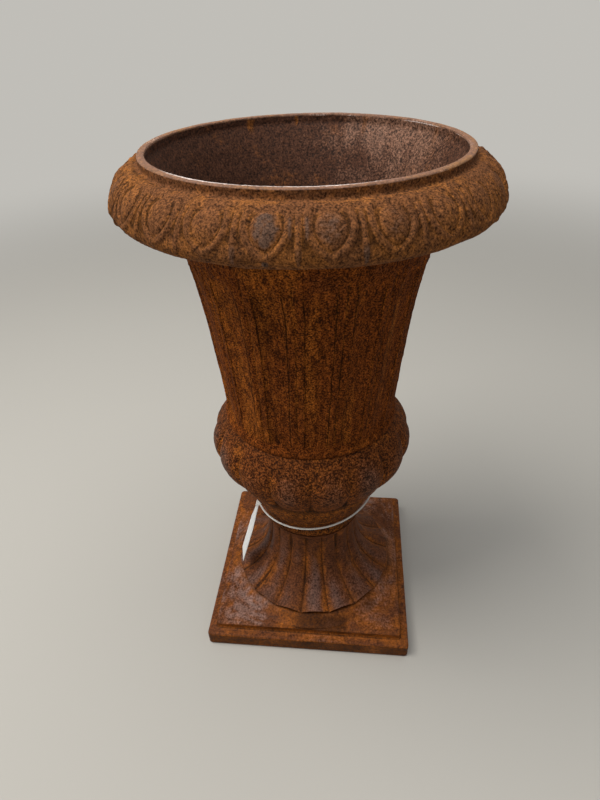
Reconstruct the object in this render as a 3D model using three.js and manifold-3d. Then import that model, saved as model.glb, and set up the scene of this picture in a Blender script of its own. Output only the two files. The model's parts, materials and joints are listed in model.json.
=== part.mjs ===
// Campana urn planter in rusted cast iron, with a blank swing tag looped round its neck.
// Millimetres, +Z up. The origin is the middle of the plinth's underside, and -Y is the front.
// Three castings stand on each other. A tie bolt holds the belly to the foot, and four
// flange bolts hold the bell to the belly.

import * as THREE from 'three';
import { mergeVertices } from 'three/addons/utils/BufferGeometryUtils.js';
import Module from 'manifold-3d';

const wasm = await Module();
wasm.setup();

// Driving dimensions.

const seatGap = 0.3; // between pieces that stand on each other
const holeClearance = 0.5; // round a bolt's shank, on the radius
const threadClearance = 0.3; // between a nut's bore and its bolt, on the radius
const cutterReach = 1; // how far a cutting solid goes past the face that it opens

// Foot casting: a stepped square plinth and a ribbed skirt.
const footHeight = 149;
const plinthSide = 275;
const plinthHeight = 21.7;
const slabSide = 252;
const slabHeight = 11.5;
const plinthCornerRadius = 5;
const plinthEdgeBevel = 1.5;
const plinthWall = 8;
const footWall = 6.5;
const neckRadius = 61;
const neckTopFlare = 2.5;
const neckTopFlareLength = 8;
const skirtRadius = 110.5;
const skirtEdgeRise = 6.9; // above the base ring
const skirtFlareLength = 21.3;
const skirtUndercut = 3.5;
const collarHeight = 4;
const ribCount = 18;
const ribDepthAtNeck = 3.2;
const ribDepthAtEdge = 5.6;
const ribEndLength = 3;
const ribTurn = 5.4; // degrees from the front to the middle of a rib
const baseRingRadius = 115;
const baseRingRise = 9.5;
const baseRingCove = 8;

// Belly casting: a cup that swells into a ring of gadroons.
const bellyHeight = 170.4;
const bellyWall = 7;
const bellyFloor = 9;
const beadRadius = 66.3;
const beadHeight = 15;
const beadBulge = 3.8;
const cupFootRadius = 67.2;
const cupTopRadius = 101.6;
const cupTopHeight = 88;
const lobeRadius = 123.5;
const lobeWidestShare = 0.555; // of the way up from the cup to the bell
const shoulderRadius = 103.4;
const lobeCount = 16;
const lobeDepth = 6.6;
const lobeProud = 2.2; // how far a lobe's lower tip stands out from the cup
const lobeTipLength = 9;
const lobeFadeLength = 30;
const lobeTurn = 3.9; // degrees from the front to a valley between two lobes

// Bell casting: a fluted wall, an upright lip and an overturned rim.
const bellHeight = 300;
const bellWall = 6.5;
const bellRingRadius = 103.6;
const bellRingHeight = 11;
const bellRingRound = 2.75;
const bellFootRadius = 100.2;
const bellTaper = 23.5;
const bellFlarePower = 3.7;
const fluteCount = 16;
const fluteDepth = 2.2;
const fluteShare = 0.6; // of one pitch; the rest of it is reeded and left plain here
const fluteTurn = 3; // degrees from the front to the edge of a flute
const fluteTopDrop = 92; // below the top of the lip
const fluteEndLength = 12;
const lipRadius = 152.8;
const lipWall = 7;
const lipHeight = 7;
const lipBevel = 1.2;
const coveDepth = 3.2;
const rimRadius = 184.6;
const rimDrop = 41; // from the top of the lip to the rim's widest line
const rimCurl = 8.6;
const rimWall = 6;
const rimFlatness = 1.2; // 1 makes the rim a quarter of an ellipse, and more makes it flatter

// Egg-and-dart carving round the rim. Across is along the rim from an egg's middle, and down
// is the distance down the rim from its root at the lip, where its whole line is carvedLength
// long. On a shorter or longer line the carving is drawn in or out with it.
const carvedLength = 60;
const eggCount = 24;
const eggTurn = 10.3; // degrees from the front to the middle of an egg
const eggDown = 24.5;
const eggLength = 31;
const eggWidth = 23.5;
const eggRise = 2.9;
const eggCrownShare = 0.45; // of its width, on which an egg is highest
const frameBends = [[13, 8], [19.5, 21], [17, 37], [0, 46]]; // across and down, from its top to its point
const frameWidth = 6.4;
const frameRise = 2;
const dartDowns = [10, 15, 42, 54]; // of the dart's upper end, its shaft and its point
const dartWidth = 5.6;
const dartRise = 1.8;
const carvingRoot = 1.5; // how far the carving is rooted in the rim

// Bolted flange between bell and belly.
const flangeBore = 72;
const flangeThickness = 8;
const flangeFillet = 2.6;
const flangeBoltCount = 4;
const flangeBoltTurn = 45; // degrees from the front to the first bolt
const flangeBoltSize = { shank: 4, acrossFlats: 13, head: 5.5, nut: 6.8, spare: 4 };

// Tie bolt through the belly's floor and the foot's top plate.
const tieBoltSize = { shank: 6, acrossFlats: 19, head: 7.5, nut: 10, spare: 6 };
const footPlate = 9;
const washerRadius = 18;
const washerThickness = 2.5;
const drainCount = 3;
const drainCircle = 32;
const drainRadius = 6;

// Swing tag on its cord.
const cordRadius = 1.2;
const cordRise = 9.7; // above the bead, where the loop is lowest
const cordTilt = 8; // degrees, with the loop lowest on the tag's side
const cordSlack = 3; // how far the loop stands off the cup on the tag's side
const knotRadius = 2.4;
const knotTurn = 4; // degrees from the tag to the knot
const tieRadius = 0.8;
const tieLength = 9;
const tagWidth = 27;
const tagLength = 101;
const tagThickness = 0.8;
const tagTipWidth = 8;
const tagTipLength = 39;
const tagHoleRadius = 2.2;
const tagHoleInset = 6;
const tagTurn = -68; // degrees from the front to the tag
const tagLean = 17.2; // degrees from hanging straight down
const tagTwist = -10.7; // degrees round its own length

// How finely round things are divided: where the surface bends within one rib, lobe or
// flute, as shares of its pitch, and how many sides smaller things have.
const ribShares = [0, 0.2, 0.5, 0.8];
const lobeShares = [0, 0.16, 0.5, 0.84];
const fluteShares = [0, fluteShare / 3, (2 * fluteShare) / 3, fluteShare, (1 + fluteShare) / 2];
const hollowSides = 36;
const washerSides = 24;
const boltSides = 16;
const holeSides = 12;
const eggSteps = 4;
const frameSteps = 4; // down each side of a frame
const loopSteps = 60;
const cordSides = 6;
const linkSteps = 6; // round each end of the link

const rad = THREE.MathUtils.degToRad;

// Materials.

const castIron = (color, roughness) =>
  new THREE.MeshStandardMaterial({ color, roughness, metalness: 0.25 });
const bellIron = castIron(0x7a3f1c, 0.85);
const bellyIron = castIron(0x6e3d27, 0.7);
const footIron = castIron(0x7d4630, 0.55);
const boltSteel = new THREE.MeshStandardMaterial({ color: 0x5a4436, roughness: 0.6, metalness: 0.7 });
const whiteCord = new THREE.MeshStandardMaterial({ color: 0xf2f0ea, roughness: 0.8, metalness: 0 });
const whiteCard = new THREE.MeshStandardMaterial({ color: 0xf6f6f4, roughness: 0.6, metalness: 0 });

// Solids. A plan point is given by its distance from the axis and its turn from the front.

function atTurn(radius, degrees) {
  const a = rad(degrees);
  return [radius * Math.sin(a), -radius * Math.cos(a)];
}

function toSolid(geometry) {
  const bare = geometry.clone();
  bare.deleteAttribute('normal');
  bare.deleteAttribute('uv');
  const merged = mergeVertices(bare, 1e-4);
  return new wasm.Manifold(new wasm.Mesh({
    numProp: 3,
    vertProperties: new Float32Array(merged.attributes.position.array),
    triVerts: new Uint32Array(merged.index.array),
  }));
}

function toGeometry(solid) {
  const mesh = solid.getMesh();
  const geometry = new THREE.BufferGeometry();
  geometry.setAttribute('position', new THREE.BufferAttribute(mesh.vertProperties, 3));
  geometry.setIndex(new THREE.BufferAttribute(mesh.triVerts, 1));
  geometry.computeVertexNormals();
  return geometry;
}

// A closed outline of { r, z, depth } turned round the axis. Where an outline point has a
// depth, the surface sinks by that depth times sink(turn in degrees). It sinks along its own
// normal, or against the direction that the point gives as its out.
function turned(outline, turns, sink = () => 0) {
  const count = outline.length;
  const normals = outline.map((point, i) => {
    const before = outline[(i + count - 1) % count];
    const after = outline[(i + 1) % count];
    return point.out ?? new THREE.Vector2(after.z - before.z, before.r - after.r).normalize();
  });
  const positions = [];
  turns.forEach((degrees) => {
    outline.forEach((point, i) => {
      const shift = (point.depth ?? 0) * sink(degrees);
      const [x, y] = atTurn(point.r - shift * normals[i].x, degrees);
      positions.push(x, y, point.z - shift * normals[i].y);
    });
  });
  const index = [];
  for (let step = 0; step < turns.length; step += 1) {
    const here = step * count;
    const next = ((step + 1) % turns.length) * count;
    for (let i = 0; i < count; i += 1) {
      const j = (i + 1) % count;
      index.push(here + i, next + i, next + j);
      index.push(here + i, next + j, here + j);
    }
  }
  const geometry = new THREE.BufferGeometry();
  geometry.setAttribute('position', new THREE.Float32BufferAttribute(positions, 3));
  geometry.setIndex(index);
  return geometry;
}

// Every turn at which a surface bends, for a pattern that repeats count times.
function patternTurns(count, shares, start) {
  const pitch = 360 / count;
  return ringTurns(count, start).flatMap((turn) => shares.map((share) => turn + share * pitch));
}

function cylinder(radius, bottom, top, sides) {
  const geometry = new THREE.CylinderGeometry(radius, radius, top - bottom, sides);
  geometry.rotateX(Math.PI / 2);
  geometry.translate(0, 0, (top + bottom) / 2);
  return geometry;
}

function squareOutline(side, corner) {
  const h = side / 2;
  const shape = new THREE.Shape();
  shape.moveTo(-h + corner, -h);
  shape.lineTo(h - corner, -h);
  shape.absarc(h - corner, -h + corner, corner, -Math.PI / 2, 0, false);
  shape.absarc(h - corner, h - corner, corner, 0, Math.PI / 2, false);
  shape.absarc(-h + corner, h - corner, corner, Math.PI / 2, Math.PI, false);
  shape.absarc(-h + corner, -h + corner, corner, Math.PI, Math.PI * 1.5, false);
  return shape;
}

// A square block that stands from bottom to top, with a bevel round its top and bottom edges.
function squareBlock(side, corner, bottom, top, bevel) {
  const geometry = new THREE.ExtrudeGeometry(squareOutline(side - 2 * bevel, corner), {
    depth: top - bottom - 2 * bevel,
    bevelEnabled: bevel > 0,
    bevelThickness: bevel,
    bevelSize: bevel,
    bevelSegments: 1,
    curveSegments: 3,
  });
  return geometry.translate(0, 0, bottom + bevel);
}

function mesh(name, geometry, material) {
  const result = new THREE.Mesh(geometry, material);
  result.name = name;
  return result;
}

// Evenly spaced values from a to b, both ends included.
function spread(a, b, parts) {
  return Array.from({ length: parts + 1 }, (_, i) => a + ((b - a) * i) / parts);
}

// 0 at the crest of a rounded rib and 1 in the sharp valley between two ribs.
function ribSink(count, valleyTurn) {
  const pitch = 360 / count;
  return (degrees) => {
    const share = THREE.MathUtils.euclideanModulo(degrees - valleyTurn, pitch) / pitch;
    return 1 - Math.sqrt(Math.max(0, 1 - (2 * share - 1) ** 2));
  };
}

// 1 in the middle of a hollow flute and 0 on the reeded stretch beside it.
function fluteSink(degrees) {
  const pitch = 360 / fluteCount;
  const share = THREE.MathUtils.euclideanModulo(degrees - fluteTurn, pitch) / pitch;
  return share < fluteShare ? Math.sin((Math.PI * share) / fluteShare) : 0;
}

// Foot casting.

const slabTop = plinthHeight + slabHeight;
const ringTop = slabTop + baseRingRise;
const skirtEdge = ringTop + skirtEdgeRise;
const ribTop = footHeight - collarHeight;
const tieBore = tieBoltSize.shank + holeClearance;

function skirtCrest(z) {
  const flare = (skirtRadius - neckRadius) * Math.exp((skirtEdge - z) / skirtFlareLength);
  const top = neckTopFlare * Math.exp((z - ribTop) / neckTopFlareLength);
  return neckRadius + flare + top;
}

function ribDepth(z) {
  const share = (skirtCrest(z) - neckRadius) / (skirtRadius - neckRadius);
  const full = THREE.MathUtils.lerp(ribDepthAtNeck, ribDepthAtEdge, share);
  return full * (1 - THREE.MathUtils.smoothstep(z, ribTop - ribEndLength, ribTop));
}

// Heights down the skirt, closer together towards its flared edge.
function skirtHeights(parts) {
  return spread(1, 0, parts).map((t) => THREE.MathUtils.lerp(skirtEdge, ribTop, t ** 2));
}

function footCasting() {
  const underEdge = skirtRadius - ribDepthAtEdge - skirtUndercut;
  const ringFoot = { r: baseRingRadius + baseRingCove, z: slabTop };
  const cove = spread(0, 90, 3).map((degrees) => ({
    r: ringFoot.r - baseRingCove * Math.cos(rad(degrees)),
    z: ringTop - baseRingRise * Math.sin(rad(degrees)),
  }));
  const ringRoot = slabTop - slabHeight / 2;
  const ribs = skirtHeights(10).map((z) => ({ r: skirtCrest(z), z, depth: ribDepth(z) }));
  ribs.at(-1).out = new THREE.Vector2(0, 1); // the edge is trimmed to a circle
  const outlineDown = [
    { r: tieBore, z: footHeight },
    { r: skirtCrest(ribTop), z: footHeight },
    ...ribs,
    { r: underEdge, z: skirtEdge - skirtUndercut },
    { r: underEdge, z: ringTop },
    ...cove,
    { r: ringFoot.r, z: ringRoot },
    { r: tieBore, z: ringRoot },
  ];
  const valleyTurn = ribTurn + 180 / ribCount;
  const ribTurns = patternTurns(ribCount, ribShares, valleyTurn);
  const skirt = turned(outlineDown.reverse(), ribTurns, ribSink(ribCount, valleyTurn));
  const blocks = [
    squareBlock(plinthSide, plinthCornerRadius, 0, plinthHeight, plinthEdgeBevel),
    squareBlock(slabSide, plinthCornerRadius, plinthHeight / 2, slabTop, plinthEdgeBevel),
  ];
  const solid = blocks.reduce((result, block) => result.add(toSolid(block)), toSolid(skirt));
  return toGeometry(drained(hollowed(solid, underEdge - footWall), footHeight - footPlate, footHeight));
}

// The foot is a shell: two square pockets and a round one are open to the underside.
function hollowed(solid, widest) {
  const pocketTop = slabTop - footWall;
  const pocket = (side, top) => {
    return squareBlock(side - 2 * plinthWall, plinthCornerRadius, -cutterReach, top, 0);
  };
  const insideTop = footHeight - footPlate;
  const wall = spread(skirtEdge - footWall, insideTop, 6).map((z) => {
    const valley = skirtCrest(z) - ribDepth(Math.min(z, ribTop - ribEndLength));
    return new THREE.Vector2(Math.min(valley - footWall, widest), z);
  });
  const profile = [
    new THREE.Vector2(0, pocketTop - cutterReach),
    new THREE.Vector2(widest, pocketTop - cutterReach),
    ...wall,
    new THREE.Vector2(0, insideTop),
  ];
  const core = new THREE.LatheGeometry(profile, hollowSides).rotateX(Math.PI / 2);
  const cutters = [pocket(plinthSide, plinthHeight - footWall), pocket(slabSide, pocketTop), core];
  return cutters.reduce((result, cutter) => result.subtract(toSolid(cutter)), solid);
}

// Drain holes stand over each other in the belly's floor and the foot's top plate.
function drained(solid, bottom, top) {
  return drilled(solid, drainRadius, drainCircle, ringTurns(drainCount, 0), bottom, top);
}

// Turns of evenly spaced things on a circle.
function ringTurns(count, start) {
  return spread(0, 360, count).slice(0, -1).map((turn) => turn + start);
}

// Round holes on a circle, through a plate between two heights.
function drilled(solid, radius, circle, turns, bottom, top) {
  const drill = cylinder(radius, bottom - cutterReach, top + cutterReach, holeSides);
  return turns.reduce((result, turn) => {
    const [x, y] = atTurn(circle, turn);
    return result.subtract(toSolid(drill.clone().translate(x, y, 0)));
  }, solid);
}

// Belly casting.

const lobeWidest = THREE.MathUtils.lerp(cupTopHeight, bellyHeight, lobeWidestShare);

const cupRadius = (z) =>
  THREE.MathUtils.mapLinear(z, beadHeight, cupTopHeight, cupFootRadius, cupTopRadius);

function lobeCrest(z) {
  const below = z < lobeWidest;
  const end = below ? cupTopHeight : bellyHeight;
  const endRadius = below ? cupTopRadius : shoulderRadius;
  const away = (z - lobeWidest) / (end - lobeWidest);
  const proud = below ? lobeProud * away * lobeTip(z) : 0;
  return endRadius + (lobeRadius - endRadius) * Math.cos((away * Math.PI) / 2) + proud;
}

// 0 at the very tip of a lobe, rounding up to 1 at the end of the tip's length.
function lobeTip(z) {
  const left = 1 - THREE.MathUtils.clamp((z - cupTopHeight) / lobeTipLength, 0, 1);
  return Math.sqrt(1 - left ** 2);
}

function lobeRelief(z) {
  const fade = THREE.MathUtils.smoothstep(z, bellyHeight - lobeFadeLength, bellyHeight);
  return lobeDepth * lobeTip(z) * (1 - fade);
}

function bellyCasting() {
  const tipTop = cupTopHeight + lobeTipLength;
  const lobeHeights = [
    ...spread(0, 1, 3).map((t) => cupTopHeight + lobeTipLength * t ** 2),
    ...spread(tipTop, bellyHeight, 6).slice(1),
  ];
  const bead = spread(-80, 80, 3).map((degrees) => ({
    r: beadRadius - beadBulge * (1 - Math.cos(rad(degrees))),
    z: (beadHeight / 2) * (1 + Math.sin(rad(degrees))),
  }));
  const cup = spread(beadHeight, cupTopHeight, 2).slice(0, -1);
  const underFlange = bellyHeight - flangeThickness;
  const upperInside = spread(underFlange, cupTopHeight, 4);
  const lowerInside = spread(cupTopHeight, bellyFloor + bellyWall, 2).slice(1);
  const outlineUp = [
    { r: tieBore, z: 0 },
    ...bead,
    ...cup.map((z) => ({ r: cupRadius(z), z })),
    ...lobeHeights.map((z) => ({ r: lobeCrest(z), z, depth: lobeRelief(z) })),
    { r: flangeBore, z: bellyHeight },
    { r: flangeBore, z: underFlange },
    ...upperInside.map((z) => ({ r: lobeCrest(z) - lobeRelief(z) - bellyWall, z })),
    ...lowerInside.map((z) => ({ r: cupRadius(z) - bellyWall, z })),
    { r: cupFootRadius - 2 * bellyWall, z: bellyFloor },
    { r: tieBore, z: bellyFloor },
  ];
  const shell = turned(
    outlineUp,
    patternTurns(lobeCount, lobeShares, lobeTurn),
    ribSink(lobeCount, lobeTurn),
  );
  return toGeometry(bolted(drained(toSolid(shell), 0, bellyFloor), underFlange, bellyHeight));
}

// Bolt holes stand over each other in the two flanges.
const bellCorner = bellWall + flangeFillet;
const flangeBoltCircle = (flangeBore + bellFootRadius - bellCorner) / 2;
const flangeTurns = ringTurns(flangeBoltCount, flangeBoltTurn);

function bolted(solid, bottom, top) {
  const radius = flangeBoltSize.shank + holeClearance;
  return drilled(solid, radius, flangeBoltCircle, flangeTurns, bottom, top);
}

// Bell casting.

const lipFoot = bellHeight - lipHeight;
const rimWidest = bellHeight - rimDrop;

function bellRadius(z) {
  const t = Math.max(0, (z - bellRingHeight) / (lipFoot - bellRingHeight));
  const flare = lipRadius - bellFootRadius - bellTaper;
  return bellFootRadius + bellTaper * t + flare * t ** bellFlarePower;
}

// The flutes' depth, which eases in at the lower end and out at the upper one.
function fluteRelief(z) {
  const top = bellHeight - fluteTopDrop;
  const climb = THREE.MathUtils.smoothstep(z, bellRingHeight, bellRingHeight + fluteEndLength);
  return fluteDepth * climb * (1 - THREE.MathUtils.smoothstep(z, top - fluteEndLength, top));
}

// Part of an ellipse round { r, z }, from one direction to another in degrees from +r. A
// flatness above 1 draws the ellipse in towards its chord.
function arc(centre, across, up, from, to, parts, flatness = 1) {
  const drawn = (value) => Math.sign(value) * Math.abs(value) ** flatness;
  return spread(from, to, parts).map((degrees) => ({
    r: centre.r + across * drawn(Math.cos(rad(degrees))),
    z: centre.z + up * drawn(Math.sin(rad(degrees))),
  }));
}

// The rim's outer line, from its root down and round the curl to its lowest point.
const rimTop = lipFoot - lipBevel;
const rimRoot = { r: lipRadius + coveDepth, z: rimWidest };
const curl = { r: rimRadius - rimCurl, z: rimWidest };
const rimLine = [
  ...arc(rimRoot, rimRadius - rimRoot.r, rimTop - rimWidest, 90, 0, 5, rimFlatness),
  ...arc(curl, rimCurl, rimCurl, 0, -90, 3).slice(1),
];
const rimCurve = new THREE.SplineCurve(rimLine.map(({ r, z }) => new THREE.Vector2(r, z)));

// The place of a carving point, given as [across, down, rise] round an egg's own turn.
function onRim(turn, [across, down, rise]) {
  const share = down / carvedLength;
  const base = rimCurve.getPointAt(share);
  const along = rimCurve.getTangentAt(share);
  const degrees = turn + THREE.MathUtils.radToDeg(across / base.x);
  return [...atTurn(base.x - rise * along.y, degrees), base.y + rise * along.x];
}

// A solid strung through sections that have the same number of points, closed at both ends.
function carved(turn, sections) {
  const count = sections[0].length;
  const last = (sections.length - 1) * count;
  const index = [];
  for (let here = 0; here < last; here += 1) {
    const beside = here % count === count - 1 ? here + 1 - count : here + 1;
    index.push(here, here + count, beside + count);
    index.push(here, beside + count, beside);
  }
  for (let i = 1; i < count - 1; i += 1) {
    index.push(0, i, i + 1);
    index.push(last, last + i + 1, last + i);
  }
  const positions = sections.flat().flatMap((point) => onRim(turn, point));
  const geometry = new THREE.BufferGeometry();
  geometry.setAttribute('position', new THREE.Float32BufferAttribute(positions, 3));
  geometry.setIndex(index);
  return toSolid(geometry);
}

function eggSections() {
  return spread(0, 180, eggSteps).map((degrees) => {
    const full = Math.sin(rad(degrees));
    const down = eggDown - (eggLength / 2) * Math.cos(rad(degrees));
    const half = (eggWidth / 2) * THREE.MathUtils.lerp(0.25, 1, full);
    const rise = THREE.MathUtils.lerp(-carvingRoot / 2, eggRise, full);
    return [
      [-half, down, -carvingRoot],
      [-half * eggCrownShare, down, rise],
      [half * eggCrownShare, down, rise],
      [half, down, -carvingRoot],
    ];
  });
}

// A three-sided ridge along a path of [across, down], which dips into the rim at both ends.
function ridgeSections(path, width, crest) {
  return path.map(([across, down], i) => {
    const before = path[Math.max(i - 1, 0)];
    const after = path[Math.min(i + 1, path.length - 1)];
    const ends = i === 0 || i === path.length - 1;
    const way = new THREE.Vector2(after[0] - before[0], after[1] - before[1]);
    way.setLength(ends ? width / 4 : width / 2);
    return [
      [across - way.y, down + way.x, -carvingRoot],
      [across, down, ends ? -carvingRoot / 2 : crest],
      [across + way.y, down - way.x, -carvingRoot],
    ];
  });
}

function framePath() {
  const bends = frameBends.map(([across, down]) => new THREE.Vector2(across, down));
  const side = new THREE.CubicBezierCurve(...bends).getPoints(frameSteps);
  const mirrored = side.map(({ x, y }) => [-x, y]);
  return [...mirrored, ...side.reverse().slice(1).map(({ x, y }) => [x, y])];
}

// One egg, the frame round it and the dart beside it.
function eggAndDart(turn) {
  const dartTurn = turn + 180 / eggCount;
  return [
    carved(turn, eggSections()),
    carved(turn, ridgeSections(framePath(), frameWidth, frameRise)),
    carved(dartTurn, ridgeSections(dartDowns.map((down) => [0, down]), dartWidth, dartRise)),
  ];
}

function bellCasting() {
  const channelTop = rimTop - rimWall;
  const wallFoot = bellRingHeight + bellRingRound;
  const wall = spread(wallFoot, channelTop - bellRingRound, 6);
  const inside = spread(rimTop, flangeThickness + bellWall, 5);
  const outlineUp = [
    { r: flangeBore, z: 0 },
    { r: bellRingRadius - bellRingRound, z: 0 },
    { r: bellRingRadius, z: bellRingRound },
    { r: bellRingRadius, z: bellRingHeight - bellRingRound },
    { r: bellFootRadius, z: bellRingHeight },
    ...wall.map((z) => ({ r: bellRadius(z), z, depth: fluteRelief(z) })),
    ...arc(rimRoot, rimRadius - rimWall - rimRoot.r, channelTop - rimWidest, 90, 0, 2, rimFlatness),
    { r: curl.r, z: rimWidest - rimCurl + rimWall },
    ...rimLine.toReversed(),
    { r: lipRadius, z: lipFoot + lipBevel },
    { r: lipRadius, z: bellHeight - lipBevel },
    { r: lipRadius - lipBevel, z: bellHeight },
    { r: lipRadius - lipWall + lipBevel, z: bellHeight },
    { r: lipRadius - lipWall, z: bellHeight - lipBevel },
    ...inside.map((z) => ({ r: bellRadius(z) - bellWall, z })),
    { r: bellFootRadius - bellCorner, z: flangeThickness },
    { r: flangeBore, z: flangeThickness },
  ];
  const shell = turned(outlineUp, patternTurns(fluteCount, fluteShares, fluteTurn), fluteSink);
  const carving = ringTurns(eggCount, eggTurn).flatMap(eggAndDart);
  const solid = carving.reduce((result, piece) => result.add(piece), toSolid(shell));
  return toGeometry(bolted(solid, 0, flangeThickness));
}

// Bolts, nuts and washers. Each is drawn from its seat, at height 0.

function hexagon(acrossFlats) {
  const radius = acrossFlats / Math.sqrt(3);
  const shape = new THREE.Shape();
  return shape.setFromPoints(ringTurns(6, 0).map((turn) => new THREE.Vector2(...atTurn(radius, turn))));
}

function bolt(size, grip) {
  const outline = hexagon(size.acrossFlats);
  const head = new THREE.ExtrudeGeometry(outline, { depth: size.head, bevelEnabled: false });
  const shank = cylinder(size.shank, -grip - size.nut - size.spare, size.head / 2, boltSides);
  return toGeometry(toSolid(head).add(toSolid(shank)));
}

function nut(size) {
  const shape = hexagon(size.acrossFlats);
  const bore = new THREE.Path().absarc(0, 0, size.shank + threadClearance, 0, Math.PI * 2, true);
  shape.holes.push(bore);
  const geometry = new THREE.ExtrudeGeometry(shape, {
    depth: size.nut,
    bevelEnabled: false,
    curveSegments: boltSides / 2,
  });
  return toGeometry(toSolid(geometry.translate(0, 0, -size.nut)));
}

function washer() {
  const outline = [
    { r: tieBore, z: 0 },
    { r: washerRadius, z: 0 },
    { r: washerRadius, z: washerThickness },
    { r: tieBore, z: washerThickness },
  ];
  return turned(outline, patternTurns(washerSides, [0], 0));
}

// Swing tag. Everything is drawn with the tag on the +X side of the cup and then turned to
// the tag's own side. The tag is drawn hanging straight down from the cord, facing +X.

const bellyBase = footHeight + seatGap;
const cupSlope = Math.atan2(cupTopRadius - cupFootRadius, cupTopHeight - beadHeight);
const cordHeight = bellyBase + beadHeight + cordRise;
const cordStand = (cordRadius + seatGap) / Math.cos(cupSlope);
const cordSnug = cupRadius(beadHeight + cordRise) + cordStand;
const tagPivot = cordSnug + cordSlack;
const tagTop = tieLength - tagHoleInset;

// The loop touches the cup where it is highest. There the cup is wider by the loop's climb.
const climbShare = Math.tan(cupSlope) * Math.tan(rad(cordTilt));
const cordHighRadius = (cordSnug + climbShare * tagPivot) / (1 - climbShare);
const cordCircle = (tagPivot + cordHighRadius) / 2 / Math.cos(rad(cordTilt));

function cordLoop() {
  const loop = new THREE.TorusGeometry(cordCircle, cordRadius, cordSides, loopSteps);
  const knot = new THREE.SphereGeometry(knotRadius, 10, 8);
  knot.translate(cordCircle * Math.cos(rad(knotTurn)), cordCircle * Math.sin(rad(knotTurn)), 0);
  const geometry = toGeometry(toSolid(loop).add(toSolid(knot)));
  geometry.rotateY(rad(cordTilt));
  return geometry.translate(-cordCircle * Math.cos(rad(cordTilt)), 0, cordCircle * Math.sin(rad(cordTilt)));
}

// A long link of thin cord that passes round the loop and through the tag's hole.
function tagTie() {
  const bend = cordRadius + seatGap + tieRadius;
  const half = (middle, sign) => spread(0, 180, linkSteps).map((degrees) => ({
    x: sign * bend * Math.cos(rad(degrees)),
    z: middle + sign * bend * Math.sin(rad(degrees)),
  }));
  const centreLine = [...half(0, 1), ...half(bend - tieLength, -1)];
  const positions = [];
  const index = [];
  centreLine.forEach((point, step) => {
    const middle = step < centreLine.length / 2 ? 0 : bend - tieLength;
    const outX = point.x / bend;
    const outZ = (point.z - middle) / bend;
    for (let side = 0; side < cordSides; side += 1) {
      const a = (2 * Math.PI * side) / cordSides;
      const out = tieRadius * Math.cos(a);
      positions.push(point.x + out * outX, tieRadius * Math.sin(a), point.z + out * outZ);
      const here = step * cordSides;
      const next = ((step + 1) % centreLine.length) * cordSides;
      const after = (side + 1) % cordSides;
      index.push(here + side, here + after, next + after);
      index.push(here + side, next + after, next + side);
    }
  });
  const geometry = new THREE.BufferGeometry();
  geometry.setAttribute('position', new THREE.Float32BufferAttribute(positions, 3));
  geometry.setIndex(index);
  return geometry;
}

function tagCard() {
  const h = tagWidth / 2;
  const shape = new THREE.Shape([
    new THREE.Vector2(-h, -tagLength),
    new THREE.Vector2(h, -tagLength),
    new THREE.Vector2(h, -tagTipLength),
    new THREE.Vector2(tagTipWidth / 2, 0),
    new THREE.Vector2(-tagTipWidth / 2, 0),
    new THREE.Vector2(-h, -tagTipLength),
  ]);
  const card = new THREE.ExtrudeGeometry(shape, { depth: tagThickness, bevelEnabled: false });
  const hole = cylinder(tagHoleRadius, -tagThickness, 2 * tagThickness, holeSides);
  hole.translate(0, -tagHoleInset, 0);
  const geometry = toGeometry(toSolid(card).subtract(toSolid(hole)));
  geometry.translate(0, 0, -tagThickness / 2);
  geometry.rotateX(Math.PI / 2);
  geometry.rotateZ(Math.PI / 2 + rad(tagTwist));
  return geometry.translate(0, 0, -tagTop);
}

// The lean at which the tag just clears the ribs' crests, by the seat gap.
function leastLean() {
  const far = tagTop + tagLength;
  const reach = tagThickness / 2 + (tagWidth / 2) * Math.abs(Math.sin(rad(tagTwist))) + seatGap;
  let lean = 0;
  for (let drop = 0; drop <= far; drop += 0.5) {
    for (let angle = lean; angle < 60; angle += 0.05) {
      const r = tagPivot + drop * Math.sin(rad(angle));
      const z = cordHeight - drop * Math.cos(rad(angle));
      const room = z > skirtEdge ? r - skirtCrest(Math.min(z, ribTop)) : r - skirtRadius;
      if (room * Math.cos(rad(angle)) >= reach) {
        lean = Math.max(lean, angle);
        break;
      }
    }
  }
  return lean;
}

// Assembly.

const urn = new THREE.Group();

const foot = new THREE.Group();
foot.add(mesh('foot_casting', footCasting(), footIron));
urn.add(foot);

const belly = new THREE.Group();
belly.position.z = bellyBase;
belly.add(mesh('belly_casting', bellyCasting(), bellyIron));
urn.add(belly);

const bell = new THREE.Group();
bell.position.z = bellyBase + bellyHeight + seatGap;
bell.add(mesh('bell_casting', bellCasting(), bellIron));
urn.add(bell);

flangeTurns.forEach((turn, i) => {
  const [x, y] = atTurn(flangeBoltCircle, turn);
  const grip = 2 * flangeThickness + 3 * seatGap;
  const screw = mesh(`flange_bolt_${i + 1}`, bolt(flangeBoltSize, grip), boltSteel);
  screw.position.set(x, y, flangeThickness + seatGap);
  bell.add(screw);
  const holder = mesh(`flange_nut_${i + 1}`, nut(flangeBoltSize), boltSteel);
  holder.position.set(x, y, bellyHeight - flangeThickness - seatGap);
  belly.add(holder);
});

const upperWasher = mesh('upper_washer', washer(), boltSteel);
upperWasher.position.z = bellyFloor + seatGap;
belly.add(upperWasher);

const tieGrip = bellyFloor + footPlate + 2 * washerThickness + 5 * seatGap;
const tieBolt = mesh('tie_bolt', bolt(tieBoltSize, tieGrip), boltSteel);
tieBolt.position.z = bellyFloor + washerThickness + 2 * seatGap;
belly.add(tieBolt);

const lowerWasher = mesh('lower_washer', washer(), boltSteel);
lowerWasher.position.z = footHeight - footPlate - seatGap - washerThickness;
foot.add(lowerWasher);

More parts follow.
